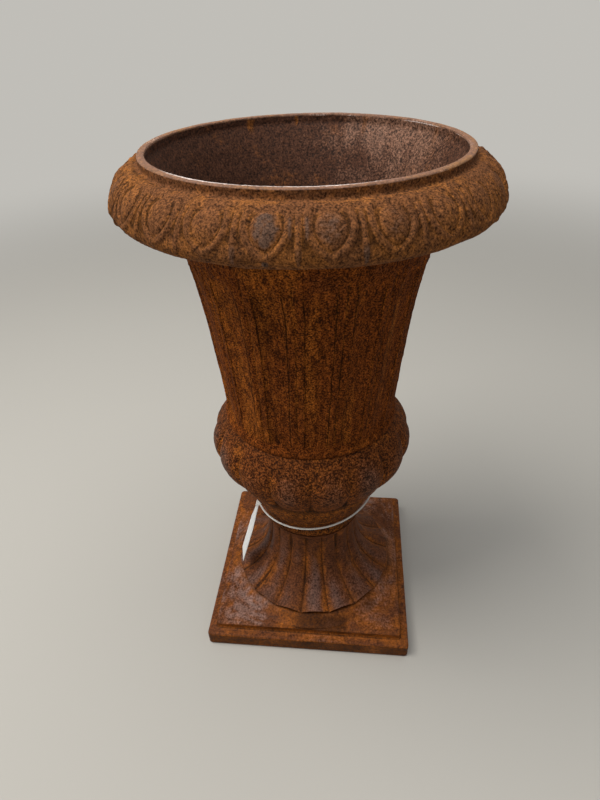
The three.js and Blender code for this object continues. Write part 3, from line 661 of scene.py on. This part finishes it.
def insideRelief(turn, line):
    # painted highlights high on the far wall, painted light on the right wall and painted shade on the left,
    # and a few orange runs from the lip
    run = lengthAlong(line)
    far = nearTurn(turn, 176, 26) * np.exp(-((run - 20 * mm) / (22 * mm)) ** 2)
    runs = 0.0
    for at, wide, long in bell["orangeRuns"]:
        runs = runs + nearTurn(turn, at, wide) * (1 - smooth(0.4, 1.0, run / (long * mm)))
    side = nearTurn(turn, 118, 42) - 0.8 * nearTurn(turn, -125, 50)
    bare = 0.9 * far * (0.5 + 0.5 * rimSwell(turn * 3, run)) + 0.2 * bellSwell(turn, run) + 0.55 * side
    hollow = 2.2 * np.clip(runs, 0, 1) * (0.75 + 0.4 * rimGrain(turn, run))
    return {"height": rimGrain(turn, run) * 0.3 * mm + bellSwell(turn, run) * 0.3 * mm,
            "bare": bare, "hollow": hollow}


def lipRelief(turn, line):
    # a painted glint along the front of the lip, and rust on the rest
    run = lengthAlong(line)
    front = nearTurn(turn, -12, 42) + 0.35 * rimFade(turn, run)
    inner = smooth(0.35, 0.75, run / run[-1])
    return {"height": rimGrain(turn, run) * 0.12 * mm + rimSwell(turn, run) * 0.15 * mm,
            "bare": np.clip(front, 0, 1) * inner, "hollow": 0.5 * (1 - inner)}


def bellStretches():
    z0, top = bellLow.z, bellHigh.z
    b = bell
    lipFoot = top - b["lipHeight"]
    rimTop = lipFoot - 1.2 * mm
    widest = top - b["rimDrop"]
    rimRadius = bellHigh.x - carving["proud"]
    root = b["lipRadius"] + b["cove"]
    underTop = rimTop - b["rimWall"]
    spacing = 1.1 * mm
    ringFoot = b["ringRadius"] - 3 * mm
    seat = evenly([(b["flangeBore"], z0), (ringFoot, z0)], 6 * mm)
    ring = curveThrough([(ringFoot, z0), (b["ringRadius"] - 0.4 * mm, z0 + 1.4 * mm),
                         (b["ringRadius"], z0 + 4.5 * mm), (b["ringRadius"] - 1 * mm, z0 + 8.2 * mm),
                         (b["footRadius"] + 0.2 * mm, z0 + b["ringHeight"])], 1.0 * mm)
    heights = np.linspace(b["ringHeight"] + 1.5 * mm, underTop - z0 - 4 * mm, 96)
    wall = np.column_stack([bellRadius(heights), heights + z0])
    under = arcLine(root, widest, rimRadius - b["rimWall"] - root, underTop - widest, 90, 0, 1.0, 2.4 * mm)
    curl = arcLine(rimRadius - b["rimCurl"], widest, b["rimCurl"], b["rimCurl"], -90, 0, 1.0, spacing)
    over = arcLine(root, widest, rimRadius - root, rimTop - widest, 0, 90, b["rimSquare"], spacing)
    rim = np.vstack([curl, over[1:]])
    cove = curveThrough([(root - 0.6 * mm, rimTop), (b["lipRadius"] + 0.9 * mm, rimTop + 0.5 * mm),
                         (b["lipRadius"] + 0.1 * mm, rimTop + 2.2 * mm),
                         (b["lipRadius"], top - b["lipRound"])], 0.8 * mm)
    lip = arcLine(b["lipRadius"] - b["lipWall"] / 2, top - b["lipRound"], b["lipWall"] / 2, b["lipRound"],
                  6, 174, 0.6, 0.7 * mm)
    lipInside = b["lipRadius"] - b["lipWall"]
    throat = evenly([(lipInside, top - b["lipRound"] - 0.5 * mm), (lipInside, lipFoot)], 0.8 * mm)
    heights = np.linspace(lipFoot - z0 - 0.8 * mm, b["flange"] + b["wall"], 90)
    inside = np.vstack([throat, np.column_stack([bellRadius(heights) - b["wall"], heights + z0])])
    innerCorner = b["footRadius"] - b["wall"] - b["flangeFillet"]
    shelf = evenly([(innerCorner, z0 + b["flange"]), (b["flangeBore"], z0 + b["flange"])], 5 * mm)
    return [
        {"line": seat, "slot": 0},
        {"line": ring[1:], "slot": 0, "relief": roughRelief(bellGrain, bellSwell, 0.3 * mm, 0.3 * mm)},
        {"line": wall, "slot": 0, "relief": reedRelief},
        {"line": under[1:], "slot": 0},
        {"line": rim, "slot": 1, "relief": eggReliefUp},
        {"line": cove, "slot": 1, "relief": roughRelief(rimGrain, rimSwell, 0.3 * mm, 0.3 * mm)},
        {"line": lip, "slot": 2, "relief": lipRelief},
        {"line": inside, "slot": 3, "relief": insideRelief},
        {"line": shelf, "slot": 3},
    ]


def eggReliefUp(turn, line):
    # the outline runs up the rim, while the carving is laid out from the cove downwards
    return {key: value[::-1] for key, value in eggRelief(turn, line[::-1]).items()}


bellPiece = turnedPiece("bell_iron", bellStretches(), bell["steps"],
                        [rust["bellRust"], rust["rimRust"], rust["lipRust"], rust["insideRust"]])
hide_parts("bell_casting")
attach(bellPiece, "urn")
print("bell carved")


bellyLow, bellyHigh = corners("belly_casting")
bellyTall = bellyHigh.z - bellyLow.z
belly = {
    "wall": 7.0 * mm,
    "floor": 9.0 * mm,
    "beadRadius": 66.3 * mm,
    "beadHeight": 15.0 * mm,
    "beadBulge": 3.8 * mm,
    "cupFoot": 67.2 * mm,
    "cupTop": 101.6 * mm,
    "cupTopHeight": 88.0 * mm,
    "widestShare": 0.555,    # how far up the lobes are widest
    "crestTurn": 82.65,      # degrees from the front to the crest beside the x axis
    "shoulder": 103.4 * mm,
    "lobes": 16,
    "lobeTurn": 3.9,
    "lobeDepth": 6.6 * mm,
    "lobeProud": 2.2 * mm,
    "tip": 9.0 * mm,         # the height over which a lobe's lower end rounds off
    "fade": 30.0 * mm,       # and over which the valleys run out at the top
    "mouth": 72.0 * mm,
    "flange": 8.0 * mm,
    "bore": 6.5 * mm,
    "steps": 768,
}
bellyGrain = Mottle(31, 300, 2.6 * mm)
bellySwell = Mottle(32, 48, 20 * mm)


def cupRadius(z):
    share = (z - belly["beadHeight"]) / (belly["cupTopHeight"] - belly["beadHeight"])
    return belly["cupFoot"] + (belly["cupTop"] - belly["cupFoot"]) * share


def lobeTip(z):
    left = 1 - np.clip((z - belly["cupTopHeight"]) / belly["tip"], 0, 1)
    return np.sqrt(1 - left ** 2)


def lobeCrest(z):
    widest = belly["cupTopHeight"] + (bellyTall - belly["cupTopHeight"]) * belly["widestShare"]
    lower = z < widest
    end = np.where(lower, belly["cupTopHeight"], bellyTall)
    endRadius = np.where(lower, belly["cupTop"], belly["shoulder"])
    away = (z - widest) / (end - widest)
    proud = np.where(lower, belly["lobeProud"] * away * lobeTip(z), 0)
    biggest = bellyHigh.x / math.sin(math.radians(belly["crestTurn"]))
    return endRadius + (biggest - endRadius) * np.cos(away * np.pi / 2) + proud


def lobeRelief(z):
    return belly["lobeDepth"] * lobeTip(z) * (1 - smooth(bellyTall - belly["fade"], bellyTall, z))


def gadroonRelief(turn, line):
    z = line[:, 1:] - bellyLow.z
    pitch = 360.0 / belly["lobes"]
    valley = ribShape(turn, pitch, belly["lobeTurn"])
    depth = lobeRelief(z)
    uneven = bellyGrain(turn, z) * 0.22 * mm + bellySwell(turn, z) * 0.45 * mm
    strength = depth / belly["lobeDepth"]
    # painted shade in the valleys, on the lobes' lower ends and in the notches between them, and a painted
    # highlight on the upper crests
    paintedTipShade = 1 - smooth(0, 4 * mm, z - belly["cupTopHeight"])
    paintedNotchShadow = np.clip(1.6 * valley, 0, 1) * np.exp(-((z - belly["cupTopHeight"] - 5 * mm) / (7 * mm)) ** 2)
    hollow = strength * np.clip(1.3 * valley ** 1.5, 0, 1.1) + paintedTipShade + 0.8 * paintedNotchShadow
    bare = strength * np.clip(1 - 2.2 * valley, 0, 1) * smooth(95 * mm, 125 * mm, z)
    return {"height": uneven - depth * valley, "hollow": hollow, "bare": bare}


def cupRelief(turn, line):
    z = line[:, 1:] - bellyLow.z
    # painted shade over the whole cup, darkest just under the lobes' tips
    under = 0.96 + 0.3 * smooth(belly["cupTopHeight"] - 16 * mm, belly["cupTopHeight"], z)
    uneven = bellyGrain(turn, z) * 0.2 * mm + bellySwell(turn, z) * 0.3 * mm
    return {"height": uneven, "hollow": under + 0.12 * bellySwell(turn, z), "bare": 0.15}


def bellyStretches():
    z0 = bellyLow.z
    b = belly
    seat = evenly([(b["bore"], z0), (b["beadRadius"] - b["beadBulge"], z0)], 8 * mm)
    bead = arcLine(b["beadRadius"] - b["beadBulge"], z0 + b["beadHeight"] / 2, b["beadBulge"],
                   b["beadHeight"] / 2, -88, 88, 0.9, 0.9 * mm)
    cupHeights = np.linspace(b["beadHeight"] + 1 * mm, b["cupTopHeight"] - 0.3 * mm, 36)
    cup = np.column_stack([cupRadius(cupHeights), cupHeights + z0])
    lobeHeights = b["cupTopHeight"] + (bellyTall - b["cupTopHeight"]) * np.linspace(0, 1, 84) ** 1.25
    lobes = np.column_stack([lobeCrest(lobeHeights), lobeHeights + z0])
    mouth = np.array([(b["mouth"], z0 + bellyTall), (b["mouth"], z0 + bellyTall - b["flange"])])
    heights = np.linspace(bellyTall - b["flange"], b["floor"] + b["wall"], 40)
    valleys = lobeCrest(heights) - lobeRelief(heights)
    outside = np.where(heights > b["cupTopHeight"], valleys, cupRadius(heights))
    inside = np.column_stack([outside - b["wall"], heights + z0])
    floor = evenly([(b["cupFoot"] - 2 * b["wall"], z0 + b["floor"]), (b["bore"], z0 + b["floor"])], 6 * mm)
    return [
        {"line": seat, "slot": 0},
        {"line": bead, "slot": 0, "relief": cupRelief},
        {"line": cup, "slot": 0, "relief": cupRelief},
        {"line": lobes, "slot": 0, "relief": gadroonRelief},
        {"line": mouth, "slot": 0},
        {"line": inside, "slot": 1},
        {"line": floor, "slot": 1},
    ]


bellyPiece = turnedPiece("belly_iron", bellyStretches(), belly["steps"],
                         [rust["bellyRust"], rust["insideRust"]])
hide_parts("belly_casting")
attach(bellyPiece, "urn")
print("belly carved")


footHigh = corners("foot_casting")[1]
foot = {
    "slabTop": 33.2 * mm,
    "slabSide": 252.0 * mm,
    "tierTop": 21.7 * mm,
    "corner": 5.0 * mm,
    "wall": 6.5 * mm,
    "neck": 61.0 * mm,
    "topFlare": 2.5 * mm,
    "topFlareLength": 8.0 * mm,
    "skirt": 110.5 * mm,
    "edge": 49.6 * mm,
    "flareLength": 21.3 * mm,
    "undercut": 3.5 * mm,    # how far the skirt's edge is drawn in below its ribs
    "collar": 4.0 * mm,
    "ribs": 18,
    "ribTurn": 5.4,
    "ribAtNeck": 3.2 * mm,
    "ribAtEdge": 5.6 * mm,
    "ring": 115.0 * mm,
    "ringRise": 9.5 * mm,
    "ringCove": 8.0 * mm,
    "bore": 6.5 * mm,
    "plate": 9.0 * mm,
    "plinthWall": 8.0 * mm,
    "steps": 900,
    # the sheen spots are painted reflections on the slab's top, the dark spots are painted shadows cast by
    # the urn, and the orange spots are rust
    # each spot's mm across, mm towards the back, size, strength
    "paintedReflectionSpots": [(-96, -92, 30, 0.95), (-112, -48, 20, 0.7), (-62, -112, 22, 0.6), (-88, -20, 16, 0.4),
                   (-116, 30, 24, 0.6), (112, 44, 20, 0.5), (104, -40, 18, 0.2), (-60, 108, 26, 0.6),
                   (70, 112, 30, 0.6), (116, 96, 22, 0.6), (10, -122, 16, 0.25)],
    "paintedShadowSpots": [(-22, -119, 22, 0.9), (14, -120, 26, 1.0), (52, -116, 22, 0.9), (84, -84, 22, 0.9)],
    "orangeSpots": [(-121, -66, 8, 0.9), (-112, -96, 7, 0.8), (-124, -98, 6, 0.7), (-120, -30, 9, 0.6),
                    (62, -117, 7, 0.8), (92, -112, 10, 0.8), (120, -108, 12, 0.7), (119, -58, 15, 0.8),
                    (119, -14, 17, 0.9), (118, 28, 15, 0.7), (120, 66, 12, 0.5), (-30, -118, 16, 0.35),
                    (-122, 74, 12, 0.6), (20, 120, 18, 0.6)],
}
footGrain = Mottle(41, 260, 3.0 * mm)
footSwell = Mottle(42, 50, 20 * mm)
footStreak = Mottle(43, 54, 40 * mm)


def skirtCrest(z):
    ribTop = footHigh.z - foot["collar"]
    flare = (foot["skirt"] - foot["neck"]) * np.exp((foot["edge"] - z) / foot["flareLength"])
    return foot["neck"] + flare + foot["topFlare"] * np.exp((z - ribTop) / foot["topFlareLength"])


def ribDepth(z):
    ribTop = footHigh.z - foot["collar"]
    share = (skirtCrest(z) - foot["neck"]) / (foot["skirt"] - foot["neck"])
    full = foot["ribAtNeck"] + (foot["ribAtEdge"] - foot["ribAtNeck"]) * np.clip(share, 0, 1)
    return full * (1 - smooth(ribTop - 3 * mm, ribTop, z))


def ribRelief(turn, line):
    z = line[:, 1:]
    creased = creasedRib(turn)
    depth = ribDepth(z)
    uneven = footGrain(turn, z) * 0.12 * mm + footSwell(turn, z) * 0.35 * mm
    fade = smooth(0, 3 * mm, depth)
    streak = 0.5 + 0.5 * footStreak(turn, z)
    side = patternOffset(turn, 360.0 / foot["ribs"], foot["ribTurn"])
    lit = 0.5 + 0.5 * np.tanh(side / 4)
    # painted shade in the valleys, and painted light as a warmer streak on each valley's lit side
    valley = smooth(0.15, 0.95, creased) * (0.82 + 0.25 * footSwell(turn * 0.7, z))
    hollow = fade * (1.36 * valley + 0.6 * (streak ** 2) * lit * smooth(0.05, 0.3, creased) * (1 - valley))
    nearNeck = smooth(95 * mm, 138 * mm, z)
    hollow = hollow + nearNeck * 0.55 * streak
    bare = fade * np.clip(1 - 1.5 * creased, 0, 1) * (1 - nearNeck) * 0.7 + 0.5 * footSwell(turn, z)
    return {"height": -depth * creased + uneven, "hollow": hollow, "bare": bare}


def footStretches():
    f = foot
    top = footHigh.z
    edgeUnder = f["skirt"] - f["ribAtEdge"] - f["undercut"]
    heights = f["edge"] + (top - f["edge"]) * np.linspace(0, 1, 110) ** 1.9
    skirt = np.column_stack([skirtCrest(heights), heights])
    lip = np.array([(edgeUnder, f["edge"] - f["undercut"]), (f["skirt"] - 2.6 * mm, f["edge"] - 2.4 * mm),
                    (f["skirt"] - 0.9 * mm, f["edge"] - 1.6 * mm),
                    (f["skirt"] - 0.2 * mm, f["edge"] - 0.7 * mm)])
    trimmed = 1 - smooth(f["edge"], f["edge"] + 9 * mm, heights)[:, None]
    ringTop = f["slabTop"] + f["ringRise"]
    groove = evenly([(edgeUnder - 1 * mm, ringTop - 1.5 * mm),
                     (edgeUnder, f["edge"] - f["undercut"] - 0.5 * mm)], 1 * mm)
    plateTop = evenly([(skirtCrest(np.array([top]))[0] - 0.5 * mm, top), (f["bore"], top)], 6 * mm)
    underPlate = top - f["plate"]
    inner = []
    for z in np.linspace(underPlate, f["slabTop"] - f["wall"], 14):
        inner.append((min(skirtCrest(z) - ribDepth(z) - f["wall"], edgeUnder - f["wall"]), z))
    inside = np.array([(f["bore"], underPlate)] + inner)
    foldOut = evenly([inner[-1], (edgeUnder - 1 * mm, f["slabTop"] - 4 * mm)], 4 * mm)
    return [
        {"line": groove, "slot": 0, "relief": grooveShadeRelief},
        {"line": lip, "slot": 0, "relief": ribEdgeRelief, "upright": np.ones((len(lip), 1))},
        {"line": skirt, "slot": 0, "relief": ribRelief, "upright": trimmed},
        {"line": plateTop, "slot": 0},
        {"line": inside, "slot": 0},
        {"line": foldOut[1:], "slot": 0},
    ]


def grooveShadeRelief(turn, line):
    # painted shade fills the groove under the skirt's edge
    return {"hollow": 1.3}


def ribEdgeRelief(turn, line):
    # the valleys reach further down the skirt's trimmed edge than the crests
    share = np.linspace(0.0, 1.0, len(line))[:, None] ** 0.5
    # painted shade darkens the trimmed edge, most at its foot
    return {"height": -foot["ribAtEdge"] * creasedRib(turn) * share, "hollow": 1.2 - 0.55 * share}


def creasedRib(turn):
    # 0 on a rib's crest, 1 in the valley beside it
    pitch = 360.0 / foot["ribs"]
    valley = ribShape(turn, pitch, foot["ribTurn"] + pitch / 2)
    share = np.abs(patternOffset(turn, pitch, foot["ribTurn"])) / (pitch / 2)
    return 0.55 * valley + 0.45 * share ** 1.3


skirtPiece = turnedPiece("foot_skirt", footStretches(), foot["steps"], [rust["footRust"]])


def superSquare(half, corner, count):
    # points round a square with rounded corners, evenly spread in turn from the front
    a = np.radians(np.arange(count) * 360.0 / count)
    dx, dy = np.sin(a), -np.cos(a)
    reach = half / np.maximum(np.abs(dx), np.abs(dy))
    x, y = dx * reach, dy * reach
    inner = half - corner
    both = (np.abs(x) > inner) & (np.abs(y) > inner)
    # a corner point slides back along its ray to the corner's arc
    cx, cy = np.sign(x) * inner, np.sign(y) * inner
    dot = dx * cx + dy * cy
    root = np.sqrt(np.clip(dot ** 2 - (cx ** 2 + cy ** 2 - corner ** 2), 0, None))
    reach = np.where(both, dot + root, reach)
    return np.column_stack([dx * reach, dy * reach])


def spotted(points, spots):
    total = 0.0
    for across, back, size, strength in spots:
        away = np.hypot(points[:, 0] - across * mm, points[:, 1] - back * mm) / (size * mm)
        total = total + strength * np.exp(-away ** 2)
    return np.clip(total, 0, 1)


def plinthPiece():
    # rings of points that go from the round ring under the skirt out to the square plinth
    f = foot
    steps = f["steps"]
    turns = np.arange(steps) * 360.0 / steps
    circle = np.column_stack([np.sin(np.radians(turns)), -np.cos(np.radians(turns))])
    half = footHigh.x - 0.4 * mm
    slab = f["slabSide"] / 2
    edgeUnder = f["skirt"] - f["ribAtEdge"] - f["undercut"]
    ringTop = f["slabTop"] + f["ringRise"]
    rings = []

    def roundRing(radius, z, hollow=0.0, bare=0.0):
        rings.append((circle * radius, z, hollow, bare))

    def squareRing(side, z, hollow=0.0, bare=0.0):
        rings.append((superSquare(side, f["corner"], steps), z, hollow, bare))

    # painted shadow under the skirt's edge, fading out down the ring's slope
    roundRing(edgeUnder - 1.5 * mm, ringTop - 2.5 * mm, 1.3)
    roundRing(edgeUnder + 1 * mm, ringTop - 1.2 * mm, 1.3)
    roundRing(edgeUnder + 4 * mm, ringTop - 0.6 * mm, 1.1)
    outer = f["ring"] + f["ringCove"] + 3 * mm
    for t in np.linspace(0, 1, 14):
        # the ring's soft crest, then its slope down to the slab
        radius = f["ring"] - 8 * mm + t * (outer - f["ring"] + 8 * mm)
        drop = f["ringRise"] * (0.03 + 0.97 * smooth(0.0, 1.05, t))
        roundRing(radius, ringTop - drop, 1.15 * (1 - t) ** 0.8, 0.1 + 0.2 * t)
    flatTop = superSquare(slab - 2.0 * mm, f["corner"], steps)
    for t in np.linspace(0, 1, 34)[1:]:
        blend = circle * outer * (1 - t) + flatTop * t
        rings.append((blend, f["slabTop"] - 0.6 * mm * t ** 2, 0.25 * t, 0.2))
    squareRing(slab - 0.8 * mm, f["slabTop"] - 1.3 * mm, 0.35, 0.3)
    squareRing(slab, f["slabTop"] - 2.8 * mm, 0.25)
    # painted shade darkens the slab's and the tier's upright faces and the step between them
    for up in (9.0, 7.0, 5.0, 3.2):
        squareRing(slab - (9.0 - up) * 0.12 * mm, f["tierTop"] + up * mm, 1.0)
    squareRing(slab - 0.6 * mm, f["tierTop"] + 1.6 * mm, 0.8)
    squareRing(slab + 0.6 * mm, f["tierTop"] + 0.3 * mm, 1.25)
    for t in (0.25, 0.5, 0.75, 0.9):
        squareRing(slab + (half - slab) * t,
                   f["tierTop"] - 0.1 * mm - 0.5 * mm * t, 0.7 - 0.6 * t, 0.2)
    squareRing(half - 0.5 * mm, f["tierTop"] - 1.2 * mm, 0.1, 0.3)
    for z in np.linspace(f["tierTop"] - 2.6 * mm, 1.6 * mm, 12):
        squareRing(half, z, 1.08)
    # the underside, hollow up to the slab
    wall = f["plinthWall"]
    for side, z in ((half - 0.5 * mm, 0.5 * mm), (half - 1.8 * mm, 0.0), (half - wall, 0.0),
                    (half - wall - 0.2 * mm, 15.0 * mm), (slab - wall, 15.2 * mm),
                    (slab - wall - 0.2 * mm, 26.5 * mm)):
        squareRing(side, z, 0.2)
    roundRing(edgeUnder - f["wall"], 26.7 * mm, 0.2)

    count = len(rings)
    points = np.zeros((count, steps, 3))
    hollow, bare = np.zeros((2, count, steps))
    for i, (flat, z, h, b) in enumerate(rings):
        swell = footSwell(turns * 1.7, 0.05 + i * 2.2 * mm)
        grain = footGrain(turns, 0.1 + i * 1.6 * mm)
        onTop = 1.0 if z > f["slabTop"] - 2 * mm else 0.25
        points[i, :, :2] = flat * (1 + (0.0006 * grain)[:, None] * (z > 2 * mm))
        points[i, :, 2] = z + (swell * 0.35 * mm + grain * 0.08 * mm) * onTop * (z > 3 * mm)
        orange = spotted(points[i], f["orangeSpots"])
        hollow[i] = h + 0.2 * footStreak(turns, 0.2 + i * 3 * mm) + 0.6 * orange * (h < 0.9)
        # painted shadow of the urn on the front of the slab's top, and painted reflections on the slab
        onSlab = z > f["slabTop"] - 3 * mm
        paintedShadow = spotted(points[i], f["paintedShadowSpots"]) * onSlab * (1 - orange)
        hollow[i] = np.maximum(hollow[i], 1.24 * paintedShadow)
        blotch = 0.82 + 0.55 * footSwell(turns * 2.3, 0.4 + i * 5 * mm)
        sheen = spotted(points[i], f["paintedReflectionSpots"]) * onSlab * (1 - paintedShadow) * blotch
        bare[i] = b * 0.5 + 1.2 * sheen * (1 - orange) + 0.2 * footSwell(turns, 0.3 + i * 3 * mm)
    index = np.arange(count * steps).reshape(count, steps)
    here, out = index[:-1], index[1:]
    quads = np.stack([here, out, np.roll(out, -1, axis=1), np.roll(here, -1, axis=1)], axis=-1)
    slots = np.zeros(here.size, dtype=int)
    return ironPiece("foot_plinth", points, quads, [rust["plinthRust"]], slots, bare, hollow)


plinth = plinthPiece()
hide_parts("foot_casting")
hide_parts("foot_casting")
for piece in (skirtPiece, plinth):
    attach(piece, "urn")
print("foot carved")


for name in frame["nodes"]:
    if "bolt" in name or "nut" in name or "washer" in name:
        finish(name, rust["boltRust"])
print("fasteners finished")


tag = {
    "string": dict(colour=(0.86, 0.83, 0.77), roughness=0.85, fine=1800.0, depth=0.4 * mm),
    "card": dict(colour=(0.88, 0.88, 0.86), roughness=0.55, fine=900.0, depth=0.1 * mm),
    "shadow": 0.86,          # how dark the dips between fibres are
    "nodes": {"tag_cord": "string", "tag_tie": "string", "tag_card": "card"},
}


def fibreMaterial(name, looks):
    material, shader, n = newMaterial(name)
    place = n.make("TexCoord").outputs["Object"]
    fibre = n.make("TexNoise", Vector=place, Scale=looks["fine"], Detail=4.0).outputs["Fac"]
    tone = n.make("ValToRGB", fibre)
    dip, crest = tone.color_ramp.elements
    dip.position, crest.position = 0.3, 0.7
    dip.color = (*(c * tag["shadow"] for c in looks["colour"]), 1)
    crest.color = (*looks["colour"], 1)
    bump = n.make("Bump", Strength=0.4, Distance=looks["depth"], Height=fibre)
    n.feed(shader["Base Color"], tone.outputs[0])
    n.feed(shader["Normal"], bump.outputs[0])
    shader["Roughness"].default_value = looks["roughness"]
    return material


whites = {kind: fibreMaterial(kind + "White", tag[kind]) for kind in ("string", "card")}
for name, kind in tag["nodes"].items():
    finish(name, whites[kind])
print("tag finished")


studio = {
    "floor": (0.50, 0.48, 0.435),
    "far": (0.53, 0.515, 0.48),      # what the camera sees far out on the floor and beyond it
    "fadeFrom": 0.9,
    "fadeTo": 2.8,
    "reach": 60.0,
    "skyColour": (0.95, 0.97, 1.0),
    "sky": 0.24,
    # each lamp's place, the height it points to, its size, power and colour
    "lamps": {
        "key": ((-1.0, -0.3, 2.3), 0.35, 1.3, 46.0, (1.0, 0.98, 0.95)),
        "fill": ((-0.5, -1.9, 1.5), 0.4, 1.4, 4.0, (1, 1, 1)),
        "top": ((0.35, 0.1, 2.5), 0.4, 1.6, 17.0, (1, 1, 1)),
    },
}


def cameraOnly(n):
    # 1 for what the camera and mirror-like surfaces see, 0 for light that falls on things
    path = n.make("LightPath").outputs
    seen = n.math("MAXIMUM", path["Is Camera Ray"], path["Is Glossy Ray"])
    return n.math("MAXIMUM", seen, path["Is Transmission Ray"])


def makeFloor():
    mesh = bpy.data.meshes.new("floor")
    outline = [(x * studio["reach"], y * studio["reach"], 0) for x, y in ((-1, -1), (1, -1), (1, 1), (-1, 1))]
    mesh.from_pydata(outline, [], [(0, 1, 2, 3)])
    material, shader, n = newMaterial("floorPale")
    shader["Base Color"].default_value = (*studio["floor"], 1)
    shader["Roughness"].default_value = 0.7
    shader["Specular IOR Level"].default_value = 0.2
    place = n.make("TexCoord").outputs["Object"]
    away = n.make("VectorMath", place, operation="LENGTH").outputs["Value"]
    fade = n.ranged(away, studio["fadeFrom"], studio["fadeTo"], kind="SMOOTHERSTEP")
    glow = n.make("Emission", Color=(*studio["far"], 1))
    nodes = material.node_tree.nodes
    pale = nodes["Principled BSDF"].outputs[0]
    mix = n.make("MixShader", n.times(fade, cameraOnly(n)), pale, glow.outputs[0])
    n.feed(nodes["Material Output"].inputs["Surface"], mix.outputs[0])
    mesh.materials.append(material)
    floor = bpy.data.objects.new("floor", mesh)
    floor.location.z = min(0.0, cadBox[0][2]) - 0.5 * mm
    scene.collection.objects.link(floor)


def makeLamp(name, place, aim, size, power, colour):
    data = bpy.data.lights.new(name, "AREA")
    data.shape = "SQUARE"
    data.size = size
    data.energy = power
    data.color = colour
    lamp = bpy.data.objects.new(name, data)
    lamp.location = place
    lamp.rotation_euler = (Vector((0, 0, aim)) - Vector(place)).to_track_quat("-Z", "Y").to_euler()
    scene.collection.objects.link(lamp)


def makeWorld():
    world = bpy.data.worlds.new("studio")
    scene.world = world
    world.use_nodes = True
    n = Wiring(world.node_tree)
    nodes = world.node_tree.nodes
    sky = nodes["Background"]
    sky.inputs["Color"].default_value = (*studio["skyColour"], 1)
    sky.inputs["Strength"].default_value = studio["sky"]
    beyond = n.make("Background", Strength=1.0, Color=(*studio["far"], 1))
    mix = n.make("MixShader", cameraOnly(n), sky.outputs[0], beyond.outputs[0])
    n.feed(nodes["World Output"].inputs["Surface"], mix.outputs[0])


makeFloor()
for name, settings in studio["lamps"].items():
    makeLamp(name, *settings)
makeWorld()
scene.view_settings.view_transform = "Standard"
print("floor and light set")
